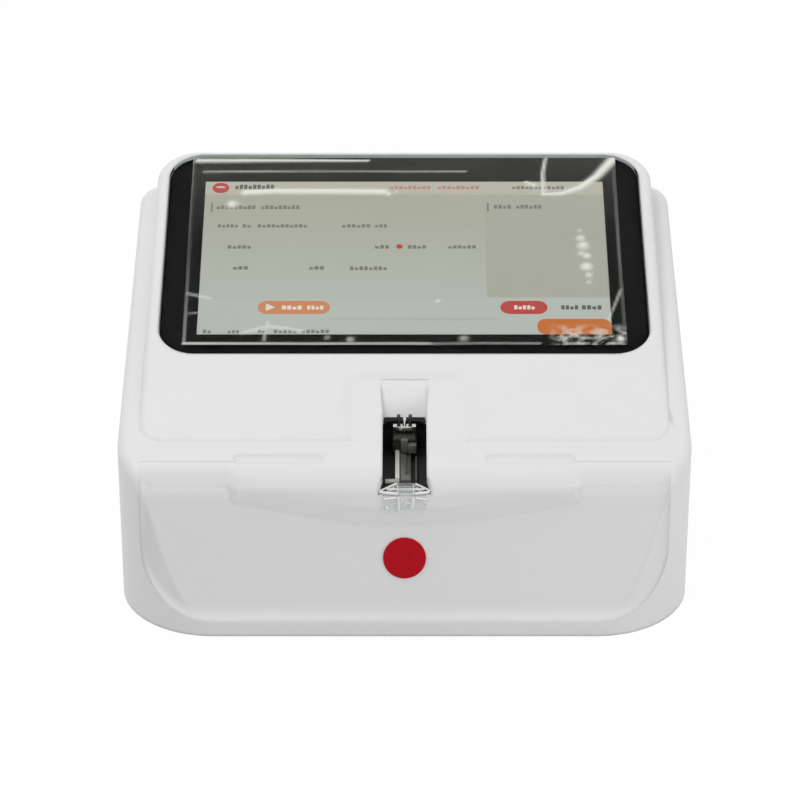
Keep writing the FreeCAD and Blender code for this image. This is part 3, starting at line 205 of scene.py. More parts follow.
class Signal:
    """A number that varies over a surface: each sign on it adds one Math node."""

    def __init__(self, wiring, socket):
        self.wiring = wiring
        self.socket = socket

    def maths(self, operation, *values):
        return self.wiring.node("Math", {"operation": operation}, dict(enumerate(values)))

    def __add__(self, other):
        return self.maths("ADD", self, other)

    def __radd__(self, other):
        return self.maths("ADD", other, self)

    def __sub__(self, other):
        return self.maths("SUBTRACT", self, other)

    def __rsub__(self, other):
        return self.maths("SUBTRACT", other, self)

    def __mul__(self, other):
        return self.maths("MULTIPLY", self, other)

    def __rmul__(self, other):
        return self.maths("MULTIPLY", other, self)

    def most(self, other):
        return self.maths("MAXIMUM", self, other)

    def ramp(self, low, high):
        """0 below low and 1 above high, with a soft start and end."""
        return self.wiring.node("MapRange", {"interpolation_type": "SMOOTHSTEP"},
                                {"Value": self, "From Min": low, "From Max": high})


class Wiring:
    """A node tree that is written from empty."""

    def __init__(self, tree):
        self.tree = tree
        self.tree.nodes.clear()

    def node(self, kind, settings=None, values=None, output=0):
        """Adds a node: its settings first, then a value or a link for each socket."""
        item = self.tree.nodes.new("ShaderNode" + kind)
        for name, setting in (settings or {}).items():
            setattr(item, name, setting)
        for key, value in (values or {}).items():
            if isinstance(value, Signal):
                self.tree.links.new(value.socket, item.inputs[key])
            else:
                item.inputs[key].default_value = value
        return Signal(self, item.outputs[output]) if item.outputs else None

    def seen_white(self):
        """1 for rays from the camera and for those that mirrors and glass send on."""
        camera, glossy, through = (self.node("LightPath", output="Is %s Ray" % kind)
                                   for kind in ("Camera", "Glossy", "Transmission"))
        return camera.most(glossy).most(through)


class Paint(Wiring):
    """One material, with its place on the object measured in millimetres."""

    def __init__(self, name):
        self.material = bpy.data.materials.new(name)
        self.material.use_nodes = True
        super().__init__(self.material.node_tree)
        spot = self.node("TexCoord", output="Object")
        self.spot = self.node("VectorMath", {"operation": "SCALE"}, {0: spot, "Scale": 1 / MM})

    def up_deck(self):
        """The distance from the fold, up the deck."""
        depth, height = (self.node("SeparateXYZ", {}, {0: self.spot}, output=axis) for axis in "YZ")
        return (depth - FOLD.y) * math.cos(DECK_SLOPE) + (height - FOLD.z) * math.sin(DECK_SLOPE)

    def mottle(self, spots, detail=3.0):
        """Soft variation of 0 to 1, with spots about this many millimetres across."""
        return self.node("TexNoise", {}, {"Vector": self.spot, "Scale": 1 / spots, "Detail": detail})

    def streaks(self, along, spots):
        """Variation drawn out along one axis, as brushing or drawing leaves it."""
        shrink = [1.0 / STREAK_STRETCH if axis == along else 1.0 for axis in "XYZ"]
        drawn = self.node("VectorMath", {"operation": "MULTIPLY"}, {0: self.spot, 1: shrink})
        return self.node("TexNoise", {}, {"Vector": drawn, "Scale": 1 / spots, "Detail": 4.0})

    def mix(self, share, first, second):
        return self.node("Mix", {"data_type": "RGBA"}, {0: share, 6: first, 7: second}, output=2)

    def bump(self, height, depth, soften=0.0):
        """A normal from a height of 0 to 1 that stands for depth millimetres, over softened edges."""
        values = {"Height": height, "Distance": depth * MM}
        if soften:
            values["Normal"] = self.node("Bevel", {"samples": 6}, {"Radius": soften * MM})
        return self.node("Bump", {}, values, output="Normal")

    def finish(self, base, roughness, **others):
        """Closes the material; others are the shader's sockets, with _ for a space."""
        values = {name.replace("_", " "): value for name, value in others.items()}
        values.update({"Base Color": base, "Roughness": roughness})
        shader = self.node("BsdfPrincipled", {}, values, output="BSDF")
        self.node("OutputMaterial", {}, {"Surface": shader})
        return self.material


def moulded(name, colour, shade, roughness, grain=0.35, depth=0.012, specular=0.5, soften=0.0):
    """Moulded plastic: slight clouds in the colour, uneven satin and a fine grain."""
    paint = Paint(name)
    clouds = paint.mottle(26.0)
    base = paint.mix(clouds, colour, shade)
    satin = roughness + 0.10 * (paint.mottle(5.0) - 0.5)
    skin = paint.bump(paint.mottle(grain, 2.0), depth, soften)
    return paint.finish(base, satin, Normal=skin, Specular_IOR_Level=specular)


def worked_metal(name, colour, shade, roughness, along="X", spots=0.5):
    """Metal with fine lines along one axis and duller patches."""
    paint = Paint(name)
    lines = paint.streaks(along, spots)
    base = paint.mix(paint.mottle(7.0), colour, shade)
    return paint.finish(base, roughness + 0.16 * (lines - 0.5), Metallic=1.0,
                        Normal=paint.bump(lines, 0.01))


def clear_plastic(name, colour, haze, roughness, spots=3.0):
    """Clear moulded plastic that lets most of what is behind it through."""
    paint = Paint(name)
    cloud = paint.mottle(spots)
    return paint.finish(colour, roughness + 0.12 * cloud, Alpha=haze + 0.14 * (cloud - 0.5),
                        Normal=paint.bump(cloud, 0.08))


# Mesh making

def round_outline(width, length, corner, middle=(0.0, 0.0), steps=7):
    """A closed rectangle with round corners as points, anticlockwise."""
    points = []
    corner = min(corner, width / 2, length / 2)
    for quarter, (side_x, side_y) in enumerate(((1, -1), (1, 1), (-1, 1), (-1, -1))):
        centre_x = middle[0] + side_x * (width / 2 - corner)
        centre_y = middle[1] + side_y * (length / 2 - corner)
        for step in range(steps + 1):
            angle = math.pi / 2 * (quarter - 1 + step / steps)
            points.append((centre_x + corner * math.cos(angle), centre_y + corner * math.sin(angle)))
    return points


def softened_rings(outline, low, high, radius):
    """Rings of a plate with rounded rims; outline gives its points for an inset."""
    rings = []
    for middle, way in ((low + radius, -1), (high - radius, 1)):
        arc = []
        for step in range(RIM_STEPS + 1):
            angle = math.pi / 2 * step / RIM_STEPS
            height = middle + way * radius * math.sin(angle)
            arc.append([(x, y, height) for x, y in outline(radius * (1 - math.cos(angle)))])
        rings += arc[::-1] if way < 0 else arc
    return rings


def add_loft(mesh, rings, place, closed=False):
    """Joins rings of equal count into one skin, capped at its ends or closed on itself."""
    rows = [[mesh.verts.new(place @ Vector(point)) for point in ring] for ring in rings]
    pairs = list(zip(rows, rows[1:])) + ([(rows[-1], rows[0])] if closed else [])
    faces = []
    for lower, upper in pairs:
        for index in range(len(lower)):
            after = (index + 1) % len(lower)
            faces.append(mesh.faces.new((lower[index], lower[after], upper[after], upper[index])))
    if not closed:
        faces.append(mesh.faces.new(rows[0][::-1]))
        faces.append(mesh.faces.new(rows[-1]))
    return faces


def slab(mesh, outline, low, high, place):
    """Adds a plate between two heights and gives its faces."""
    return add_loft(mesh, [[(x, y, height) for x, y in outline] for height in (low, high)], place)


def mesh_data(name, mesh):
    """The finished data of a mesh that was under way."""
    data = bpy.data.meshes.new(name)
    mesh.to_mesh(data)
    mesh.free()
    return data


def linked(name, data):
    """A new object in the scene."""
    item = bpy.data.objects.new(name, data)
    bpy.context.scene.collection.objects.link(item)
    return item


def piece_from(name, mesh, material, body, nodes=(), angle=SHARP_ANGLE):
    """Makes the piece, gives it its finish and lets it ride on its body."""
    bmesh.ops.recalc_face_normals(mesh, faces=mesh.faces)
    data = mesh_data(name, mesh)
    data.shade_smooth()
    data.set_sharp_from_angle(angle=angle)
    data.materials.append(material)
    piece = linked(name, data)
    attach(piece, body)
    if nodes:
        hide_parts(*nodes)


def eased(node, name, width, material, body="case"):
    """A solid again with its hard edges broken, as moulding or tumbling leaves them."""
    mesh = bmesh.new()
    mesh.from_mesh(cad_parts[node].data)
    bmesh.ops.remove_doubles(mesh, verts=mesh.verts, dist=WELD * MM)
    bmesh.ops.dissolve_limit(mesh, angle_limit=FLAT_ANGLE, verts=mesh.verts, edges=mesh.edges)
    hard = [edge for edge in mesh.edges
            if len(edge.link_faces) == 2 and edge.calc_face_angle(0.0) > HARD_ANGLE]
    bmesh.ops.bevel(mesh, geom=hard, offset=width * MM, segments=2, profile=0.5,
                    affect="EDGES", clamp_overlap=True)
    piece_from(name, mesh, material, body, [node])


def dress(node, material):
    """Gives a solid whose shape is right its finish."""
    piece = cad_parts[node]
    if not piece.material_slots:
        piece.data.materials.append(material)
    for holder in piece.material_slots:
        holder.material = material


# Settings

def colour_setting(name, description, default):
    return FloatVectorProperty(name=name, description=description, subtype="COLOR", size=3,
                               min=0.0, max=1.0, default=default[:3])


class CasingSettings(PropertyGroup):
    colour: colour_setting("Casing", "Moulded white of the two shells", (0.80, 0.80, 0.805))
    shade: colour_setting("Clouds", "The slightly darker white of its clouds", (0.775, 0.777, 0.79))
    roughness: FloatProperty(name="Satin", description="How dull the casing is", default=0.5,
                             min=0.0, max=1.0, subtype="FACTOR")
    softness: FloatProperty(name="Softness", description="Rounding that edges show to the light",
                            default=2.0 * MM, unit="LENGTH")


class ScreenSettings(PropertyGroup):
    glow: FloatProperty(name="Glow", description="Brightness of the lit display", default=0.9,
                        min=0.0, max=4.0)
    haze: FloatProperty(name="Film haze", description="How much of the film shows at its rear edge",
                        default=0.024, min=0.0, max=1.0, subtype="FACTOR")
    lift: FloatProperty(name="Crease height", description="How far creases stand off the glass",
                        default=0.45 * MM, unit="LENGTH")


class SlotSettings(PropertyGroup):
    holder: colour_setting("Holder", "Smoky body of the cell holder", tint(82, 82, 66))
    clip: colour_setting("Clip", "White of the guide clip", tint(214, 214, 204))
    easing: FloatProperty(name="Easing", description="Rounding of small hard edges",
                          default=0.2 * MM, unit="LENGTH")


class MarkSettings(PropertyGroup):
    colour: colour_setting("Mark", "Enamel of the round mark", tint(193, 6, 28))
    dome: FloatProperty(name="Dome", description="Height of the enamel's dome", default=0.35 * MM,
                        unit="LENGTH")


class StageSettings(PropertyGroup):
    floor: colour_setting("Floor", "Plain floor", (0.6, 0.6, 0.6))
    sky: FloatProperty(name="Sky", description="Even light from all round", default=0.69, min=0.0)
    key: FloatProperty(name="Key lamp", description="Power of the large lamp above on the left",
                       default=6.3, unit="POWER")
    fill: FloatProperty(name="Fill lamp", description="Power of the lamp low on the right",
                        default=1.4, unit="POWER")


# Casing: the solid's front, with the soft runs that moulding gives the panel's edges

def front_face(x, z, sink):
    """How far back the casing's front lies at a place in the front view, with sink more."""
    low = math.pi / 2 - PANEL_SLOPE
    lean = low
    depth = FOLD.y - (FOLD.z - z) / math.tan(PANEL_SLOPE)
    if z > NOSE.z + NOSE_RADIUS * math.sin(low):
        lean = math.asin((z - NOSE.z) / NOSE_RADIUS)
        depth = NOSE.y - NOSE_RADIUS * math.cos(lean)
    depth += sink / math.cos(lean)
    past = abs(x) - (CASE_HALF - FRONT_CORNER)
    if past > 0:
        turn = math.asin(past / FRONT_CORNER)
        depth = max(depth, CASE_FRONT + FRONT_CORNER * (1 - math.cos(turn)) + sink / math.cos(turn))
    return depth


def panel_edge(share, top):
    """The panel's edge in the front view at a share of its soft run, with its curve's power."""
    half = RECESS_WIDTH / 2 + share * RECESS_SIDE
    foot = FOLD.z - (RECESS_BOTTOM + share * RECESS_COVE) * math.sin(PANEL_SLOPE)
    corner = RECESS_CORNER + share * RECESS_COVE
    left = [(-half, top + (foot + corner - top) * step / SIDE_STEPS, SIDE_POWER)
            for step in range(SIDE_STEPS)]
    for step in range(TURN_STEPS + 1):
        angle = math.pi / 2 * step / TURN_STEPS
        left.append((-half + corner * (1 - math.cos(angle)), foot + corner * (1 - math.sin(angle)),
                     SIDE_POWER + (FOOT_POWER - SIDE_POWER) * math.sin(angle)))
    return left + [(-x, z, power) for x, z, power in left[::-1]]


def panel_cutter(mesh):
    """The soft run of the panel's sides, corners and foot, as a solid to take away."""
    shares = [RUN_OUTER - RUN_SPAN * step / RUN_STEPS for step in range(RUN_STEPS + 1)]
    top = NOSE.z + NOSE_RADIUS * math.sin(math.radians(PANEL_TOP))
    edges = [panel_edge(share, top) for share in shares]
    rings = []
    for places in zip(*edges):
        ring = [(x, front_face(x, z, FLOOR_SINK * (1 - abs(share) ** power)), z)
                for share, (x, z, power) in zip(shares, places)]
        rings.append(ring + [(x, CASE_FRONT - CUTTER_FRONT, z) for x, z, _ in (places[-1], places[0])])
    add_loft(mesh, rings, ROW)


def on_nose(x, radius, degrees):
    """A place round the nose: how far to the side, off the nose's middle line, and at which angle."""
    angle = math.radians(degrees)
    return (x, NOSE.y - radius * math.cos(angle), NOSE.z + radius * math.sin(angle))


def brow_cutters(mesh):
    """The soft tops of the panel on both sides of the shelf, as solids to take away."""
    near, far = SHELF_WIDTH / 2, RECESS_WIDTH / 2
    for side in (-1, 1):
        rings = []
        for step in range(BROW_COLUMNS + 1):
            x = near + (far + RECESS_SIDE - near) * step / BROW_COLUMNS
            inner = min(1.0, (x - near) / SHELF_RUN)
            outer = max(0.0, (x - far) / RECESS_SIDE)
            reach = inner ** 2 * (3 - 2 * inner) * (1 - outer ** 3)
            ring = []
            for row in range(BROW_ROWS + 1):
                share = row / BROW_ROWS
                sink = reach * (FLOOR_SINK + STAND_OFF) * share ** 2 * (3 - 2 * share)
                degrees = BROW_START - (BROW_START - BROW_END) * share
                ring.append(on_nose(side * x, NOSE_RADIUS + STAND_OFF - sink, degrees))
            ring += [on_nose(side * x, NOSE_RADIUS + CUTTER_DEPTH, degrees)
                     for degrees in (BROW_END, BROW_START)]
            rings.append(ring)
        add_loft(mesh, rings, ROW)


def turn_fillings(mesh):
    """The smooth turns from the deck down, as solids to add before the soft cuts."""
    for side in (-1, 1):
        rings = []
        for x, low in FILLING:
            ring = []
            for radius, first, last, count in (
                    (NOSE_RADIUS + FILLING_PROUD, FILLING_START, low, FILLING_STEPS),
                    (NOSE_RADIUS - FILLING_DEPTH, low, FILLING_START, FILLING_BACK_STEPS)):
                ring += [on_nose(side * x, radius, first + (last - first) * step / count)
                         for step in range(count + 1)]
            rings.append(ring)
        add_loft(mesh, rings, ROW)


def shaped(node, name, material, changes):
    """A solid again with shapes added or taken away, for changes that a mesh can hold."""
    piece = linked(name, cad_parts[node].data.copy())
    helpers = []
    for operation, maker in changes:
        mesh = bmesh.new()
        maker(mesh)
        bmesh.ops.recalc_face_normals(mesh, faces=mesh.faces)
        helper = linked("helper", mesh_data("helper", mesh))
        helpers.append(helper)
        change = piece.modifiers.new("change", "BOOLEAN")
        change.operation = operation
        change.solver = "EXACT"
        change.object = helper
    weighted = piece.modifiers.new("weighted", "WEIGHTED_NORMAL")
    weighted.keep_sharp = True
    graph = bpy.context.evaluated_depsgraph_get()
    data = bpy.data.meshes.new_from_object(piece.evaluated_get(graph), depsgraph=graph)
    piece.modifiers.clear()
    piece.data = data
    for helper in helpers:
        bpy.data.objects.remove(helper)
    data.materials.clear()
    data.materials.append(material)
    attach(piece, "case")
    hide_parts(node)


class ANALYZER_OT_casing(Operator):
    """Gives the two shells of the casing their moulded white"""
    bl_idname = "analyzer.casing"
    bl_label = "Casing"

    def execute(self, context):
        look = context.scene.analyzer_casing
        white = moulded("casing_white_plastic", opaque(look.colour), opaque(look.shade), look.roughness,
                        soften=look.softness / MM)
        changes = [("UNION", turn_fillings), ("DIFFERENCE", panel_cutter), ("DIFFERENCE", brow_cutters)]
        shaped("top_cover", "white_top_cover", white, changes)
        under = moulded("base_white_plastic", tint(222, 222, 224), tint(214, 214, 217), look.roughness)
        dress("bottom_cover", under)
        return {"FINISHED"}


# Screen

def glass_outline(inset):
    middle = (0.0, GLASS_FRONT + GLASS_LENGTH / 2)
    return round_outline(GLASS_WIDTH - 2 * inset, GLASS_LENGTH - 2 * inset, GLASS_CORNER - inset,
                         middle, BORDER_STEPS)


def display_outline(inset):
    middle = (0.0, DISPLAY_FRONT + DISPLAY_LENGTH / 2)
    return round_outline(DISPLAY_WIDTH - 2 * inset, DISPLAY_LENGTH - 2 * inset, DISPLAY_CORNER,
                         middle, BORDER_STEPS)


class ANALYZER_OT_glass(Operator):
    """Makes the cover glass clear and prints its black border behind it"""
    bl_idname = "analyzer.glass"
    bl_label = "Cover Glass"

    def execute(self, context):
        paint = Paint("cover_glass")
        smears = paint.mottle(18.0, 5.0)
        glass = paint.finish(tint(246, 250, 247), 0.01 + 0.03 * smears, IOR=1.07,
                             Transmission_Weight=1.0)
        dress("touch_glass", glass)
        paint = Paint("black_border_print")
        base = paint.mix(paint.mottle(9.0), tint(6, 7, 7), tint(9, 10, 10))
        black = paint.finish(base, 0.5 + 0.2 * paint.mottle(0.4), Specular_IOR_Level=0.02)
        mesh = bmesh.new()
        rim, window = glass_outline(PRINT_RIM), display_outline(-PRINT_LAP)
        rings = [[(x, y, height) for x, y in outline]
                 for outline, height in ((rim, PRINT_UNDER), (rim, PRINT_TOP),
                                         (window, PRINT_TOP), (window, PRINT_UNDER))]
        add_loft(mesh, rings, DECK, closed=True)
        piece_from("glass_border_print", mesh, black, "case")
        foam = moulded("black_gasket_foam", tint(20, 20, 20), tint(26, 26, 26), 0.9, 0.5, 0.1, 0.1)
        dress("glass_gasket", foam)
        return {"FINISHED"}


INK = {
    "paper": tint(184, 185, 172),
    "warm": tint(196, 190, 178),
    "card": tint(178, 178, 166),
    "foot": tint(192, 196, 190),
    "grey": tint(128, 128, 118),
    "dark": tint(96, 98, 94),
    "pale": tint(214, 212, 204),
    "rose": tint(196, 138, 128),
    "red": tint(196, 62, 58),
    "amber": tint(216, 140, 96),
    "orange": tint(206, 112, 44),
    "light": tint(238, 226, 214),
}

# Fields of the display: left and right from its middle, front and back from the fold, corner, ink
FIELDS = (
    (-77.1, 77.1, 153.6, 161.1, 0.2, "warm"),
    (31.0, 77.1, 95.5, 152.6, 0.8, "card"),
    (-77.1, 77.1, 75.2, 94.6, 0.2, "foot"),
    (-74.4, -67.9, 154.4, 160.4, 3.0, "red"),
    (-73.0, -69.4, 156.4, 158.4, 1.0, "pale"),
    (-74.6, -73.9, 143.4, 148.8, 0.3, "grey"),
    (31.9, 32.6, 143.6, 148.8, 0.3, "grey"),
    (35.9, 53.6, 86.2, 93.4, 3.6, "red"),
    (-54.9, -27.8, 86.2, 93.4, 3.6, "amber"),
    (49.5, 77.1, 75.2, 83.6, 3.4, "orange"),
    (60.0, 77.1, 75.2, 80.0, 0.2, "orange"),
    (-27.7, 35.7, 83.4, 83.8, 0.1, "card"),
    (-3.1, -0.5, 122.4, 125.0, 1.3, "red"),
)

# Lines of writing, as plain dashes: middle, height, ink, then the left and right of each word
WRITING = (
    (158.0, 2.6, "dark", (-65.6, -50.1)),
    (157.6, 1.9, "rose", (-5.5, 10.5), (13.0, 29.4)),
    (157.6, 1.8, "grey", (41.9, 62.4)),
    (146.1, 2.3, "grey", (-72.4, -57.0), (-55.2, -40.0)),
    (146.4, 2.3, "grey", (34.6, 41.6), (43.2, 53.3)),
    (135.4, 1.9, "grey", (-71.5, -63.4), (-62.0, -58.4), (-56.2, -36.9), (-23.9, -12.6), (-11.2, -6.2)),
    (136.0, 2.2, "card", (23.9, 27.4)),
    (123.4, 2.0, "grey", (-67.3, -58.0), (-11.2, -5.4), (1.4, 8.7)),
    (123.4, 1.9, "grey", (16.7, 27.7)),
    (123.4, 2.0, "card", (51.8, 55.5)),
    (111.6, 2.0, "grey", (-64.9, -58.8), (-36.1, -30.0)),
    (111.4, 2.1, "grey", (-20.6, -6.2)),
    (89.7, 2.2, "light", (-45.8, -38.0), (-36.4, -29.9)),
    (89.8, 2.2, "light", (41.1, 49.2)),
    (89.8, 2.3, "dark", (58.7, 65.4), (66.4, 74.2)),
    (76.8, 2.0, "grey", (-74.9, -71.4)),
    (76.6, 1.6, "grey", (-65.6, -61.0)),
    (76.8, 1.8, "grey", (-54.4, -51.4)),
    (76.8, 1.9, "grey", (-48.5, -39.6), (-38.2, -27.6)),
    (83.0, 0.4, "card", (2.8, 24.5)),
)
GLYPH_PITCH = 1.75
GLYPH_GAP = 0.42
GLYPH_CORNER = 0.35
SHORT_GLYPH = 0.72
GROUND_FIELDS = 3
FIELD_STEPS = 5
START_SIGN = ((-51.8, 87.9), (-48.4, 89.9), (-51.8, 91.9))


class DisplayMesh:
    """Gathers the thin coloured fields of the display in one mesh."""

    def __init__(self):
        self.mesh = bmesh.new()
        self.ink = self.mesh.verts.layers.float_color.new("ink")
        self.level = LCD_TOP + FIELD_LAYER

    def plate(self, outline, ink):
        """Adds one field on top of the last layer."""
        for face in slab(self.mesh, outline, self.level, self.level + FIELD_LAYER, DECK):
            for vert in face.verts:
                vert[self.ink] = INK[ink]

    def field(self, left, right, front, back, corner, ink):
        middle = ((left + right) / 2, (front + back) / 2)
        self.plate(round_outline(right - left, back - front, corner, middle, FIELD_STEPS), ink)

    def writing(self, middle, height, ink, *words):
        """A line of words in plain dashes, each the size of a letter."""
        foot = middle - height / 2
        for left, right in words:
            count = max(1, round((right - left) / GLYPH_PITCH))
            pitch = (right - left) / count
            for index in range(count):
                start = left + index * pitch
                tall = height * (1.0 if (index * 7 + count) % 3 else SHORT_GLYPH)
                self.field(start, start + pitch - GLYPH_GAP, foot, foot + tall, GLYPH_CORNER, ink)


class ANALYZER_OT_display(Operator):
    """Lights the display and lays its plain fields of colour on it"""
    bl_idname = "analyzer.display"
    bl_label = "Display"

    def execute(self, context):
        look = context.scene.analyzer_screen
        bezel = moulded("display_bezel", tint(18, 18, 19), tint(24, 24, 25), 0.5, specular=0.2)
        dress("lcd_panel", bezel)
        mesh = bmesh.new()
        middle = (0.0, DISPLAY_FRONT + DISPLAY_LENGTH / 2)
        sheet = round_outline(DISPLAY_WIDTH, DISPLAY_LENGTH, DISPLAY_CORNER, middle)
        slab(mesh, sheet, LCD_TOP + GROUND_GAP, LCD_TOP + FIELD_LAYER, DECK)
        piece_from("display_ground", mesh, self.lit(look, None), "case")
        fields = DisplayMesh()
        for layer in (FIELDS[:GROUND_FIELDS], FIELDS[GROUND_FIELDS:]):
            for field in layer:
                fields.field(*field)
            fields.level += FIELD_LAYER
        for line in WRITING:
            fields.writing(*line)
        fields.plate(START_SIGN, "light")
        piece_from("display_fields", fields.mesh, self.lit(look, "ink"), "case")
        return {"FINISHED"}

    def lit(self, look, layer):
        """A lit face: paper that lightens towards the user, or the inks of the fields."""
        paint = Paint("display_ink" if layer else "display_paper")
        if layer:
            base = paint.node("Attribute", {"attribute_name": layer}, output="Color")
        else:
            rise = paint.up_deck().ramp(DISPLAY_FRONT, DISPLAY_FRONT + DISPLAY_LENGTH)
            base = paint.mix(rise, tint(193, 195, 188), tint(180, 178, 164))
        clouds = paint.mottle(34.0, 2.0) * 0.5
        toned = paint.mix(clouds, base, paint.mix(0.85, tint(150, 152, 140), base))
        return paint.finish(tint(10, 10, 10), 0.35 + 0.1 * clouds, Emission_Color=toned,
                            Emission_Strength=look.glow, Specular_IOR_Level=0.1)


# Creases of the film: points across and up the deck, width at the start and at the end, whiteness (real
# crease whitening with a painted glare highlight laid over it)
CREASES = (
    (((-80.6, 171.2), (-46.0, 171.3), (-14.0, 171.0)), 0.9, 0.35, 0.85),
    (((-61.8, 152.4), (-50.0, 153.3), (-24.0, 153.2), (-7.6, 152.8)), 1.0, 1.1, 1.0),
    (((-78.0, 164.6), (-40.0, 165.2), (24.0, 165.0)), 0.5, 0.3, 0.28),
    (((53.7, 151.4), (61.0, 151.9), (68.0, 155.3), (74.6, 161.6), (81.4, 171.8)), 0.45, 1.7, 0.95),
    (((55.2, 172.6), (53.9, 164.0), (53.8, 152.0)), 0.5, 0.7, 0.6),
    (((47.0, 158.6), (50.4, 156.4)), 0.5, 0.9, 0.6),
    (((-81.8, 68.0), (-40.0, 67.9), (10.0, 68.0)), 0.5, 0.4, 0.95),
    (((10.0, 68.0), (50.0, 68.2)), 0.4, 0.3, 0.35),
    (((-81.6, 95.4), (-72.6, 92.6)), 0.45, 0.5, 0.35),
    (((-81.8, 84.0), (-77.4, 84.6)), 0.4, 0.3, 0.25),
    (((76.0, 81.0), (81.4, 97.6)), 0.3, 0.5, 0.3),
    (((-81.6, 68.8), (-82.0, 120.0), (-82.1, 172.6)), 0.35, 0.35, 0.22),
    (((82.0, 70.0), (81.8, 120.0), (81.9, 171.4)), 0.35, 0.3, 0.25),
    (((-60.0, 74.0), (-50.0, 77.6), (-38.0, 74.8)), 0.8, 0.8, 0.3),
    (((-52.0, 70.0), (-50.8, 80.0)), 0.6, 0.4, 0.25),
)

# Bubbles under the film: across, up the deck, radius, whiteness (a painted highlight on each bubble)
BUBBLES = (
    (67.0, 130.6, 0.8, 0.35), (67.2, 126.2, 1.3, 0.7), (68.0, 122.0, 1.7, 0.85),
    (67.3, 117.6, 1.2, 0.55), (69.2, 116.2, 1.2, 0.8), (68.8, 110.2, 1.7, 0.9),
    (69.6, 105.6, 1.1, 0.6), (69.4, 101.6, 0.9, 0.35), (-66.2, 145.6, 1.7, 0.8),
    (-6.2, 151.6, 0.9, 0.8), (-3.0, 153.2, 0.7, 0.3), (-20.0, 70.4, 1.2, 0.35),
    (-28.6, 71.6, 0.9, 0.25), (22.0, 71.0, 1.4, 0.3), (12.4, 91.2, 0.9, 0.3), (80.0, 70.6, 1.2, 0.9),
)


def clamped(share):
    return max(0.0, min(1.0, share))


def along_line(point, points, first, last):
    """How much a line of creases reaches a point, 0 to 1, thinning between its ends."""
    best = 0.0
    for index, (start, end) in enumerate(zip(points, points[1:])):
        run_x, run_y = end[0] - start[0], end[1] - start[1]
        off_x, off_y = point[0] - start[0], point[1] - start[1]
        share = clamped((off_x * run_x + off_y * run_y) / (run_x ** 2 + run_y ** 2))
        away = math.hypot(off_x - share * run_x, off_y - share * run_y)
        travelled = (index + share) / (len(points) - 1)
        width = first + (last - first) * travelled
        best = max(best, math.exp(-(away / width) ** 2))
    return best


def crumple(x, y):
    """The crushed corner of the film: ridges where it was pressed together."""
    inside = (clamped((x - CRUMPLE_SIDE) / CRUMPLE_SIDE_RUN)
              * clamped((CRUMPLE_REAR - y) / CRUMPLE_REAR_RUN))
    pressed = 0.0
    for across, up, level, sharpness, share in CRUMPLE_FOLDS:
        fold = 1.0 - abs(noise.noise(Vector((x / across, y / up, level)))) * sharpness
        pressed += share * max(fold, 0.0)
    return inside * max(0.0, pressed - CRUMPLE_FLOOR)


def film_state(x, y):
    """Whiteness of the film at a point: real crease whitening together with painted glare highlights on
    creases, bubbles and the crushed corner.
    """
    lines = [whitening_and_glare * along_line((x, y), points, first, last) for points, first, last, whitening_and_glare in CREASES]
    spots = [whitening_and_glare * math.exp(-(math.hypot(x - across, y - up) / radius) ** 2)
             for across, up, radius, whitening_and_glare in BUBBLES]
    return max(CRUMPLE_WHITENING_AND_GLARE * crumple(x, y), *lines, *spots)


class ANALYZER_OT_film(Operator):
    """Lays the creased protective film on the glass"""
    bl_idname = "analyzer.film"
    bl_label = "Protective Film"

    def execute(self, context):
        look = context.scene.analyzer_screen
        mesh = bmesh.new()
        whitening_and_glare = mesh.verts.layers.float.new("whitening_and_glare")
        columns = round(FILM_WIDTH / FILM_STEP)
        rows = round(FILM_LENGTH / FILM_STEP)
        layers = []
        for side in (0, 1):
            grid = []
            for row in range(rows + 1):
                line = []
                for column in range(columns + 1):
                    x = FILM_WIDTH * (column / columns - 0.5)
                    y = FILM_FRONT + FILM_LENGTH * row / rows
                    reach = film_state(x, y) if side == 0 else layers[0][row][column][whitening_and_glare]
                    wave = Vector((x / SWELL_ACROSS, y / SWELL_UP, SWELL_LEVEL))
                    swell = FILM_SWELL * noise.noise(wave)
                    height = GLASS_TOP + FILM_GAP + swell + reach * look.lift / MM + side * FILM_SHEET
                    height = max(height, GLASS_TOP + FILM_TOUCH + side * FILM_SHEET)
                    vert = mesh.verts.new(DECK @ Vector((x, y, height)))
                    vert[whitening_and_glare] = reach
                    line.append(vert)
                grid.append(line)
            layers.append(grid)
        self.skin(mesh, layers, rows, columns)
        paint = Paint("film_clear_plastic")
        # The whiteness attribute raises the film's alpha as painted glare highlights on creases,
        # bubbles and the crushed corner, over real whitening.
        shown = paint.node("Attribute", {"attribute_name": "whitening_and_glare"}, output="Fac")
        dust = paint.mottle(1.6, 4.0)
        rise = paint.up_deck().ramp(FILM_FRONT + FILM_LENGTH / 2, FILM_FRONT + FILM_LENGTH)
        flat = 0.2 * look.haze + rise * (0.8 * look.haze)
        veil = flat * (0.7 + 0.6 * paint.mottle(24.0)) + shown * 0.92 + 0.01 * dust.ramp(0.62, 0.8)
        wrinkle = paint.bump(paint.mottle(6.0, 3.0), 0.15)
        clear = paint.finish(tint(240, 243, 234), 0.12 + 0.2 * dust, Alpha=veil, Normal=wrinkle,
                             Specular_IOR_Level=0.6)
        piece_from("protective_film", mesh, clear, "case", ["screen_film"], FILM_ANGLE)
        return {"FINISHED"}

    def skin(self, mesh, layers, rows, columns):
        """Joins the two sides of the film into one closed sheet."""
        under, over = layers
        for row in range(rows):
            for column in range(columns):
                for grid in (under, over):
                    mesh.faces.new((grid[row][column], grid[row][column + 1],
                                    grid[row + 1][column + 1], grid[row + 1][column]))
        rim = [(0, column) for column in range(columns)]
        rim += [(row, columns) for row in range(rows)]
        rim += [(rows, column) for column in range(columns, 0, -1)]
        rim += [(row, 0) for row in range(rows, 0, -1)]
        for (row, column), (next_row, next_column) in zip(rim, rim[1:] + rim[:1]):
            mesh.faces.new((under[row][column], under[next_row][next_column],
                            over[next_row][next_column], over[row][column]))


# Round mark

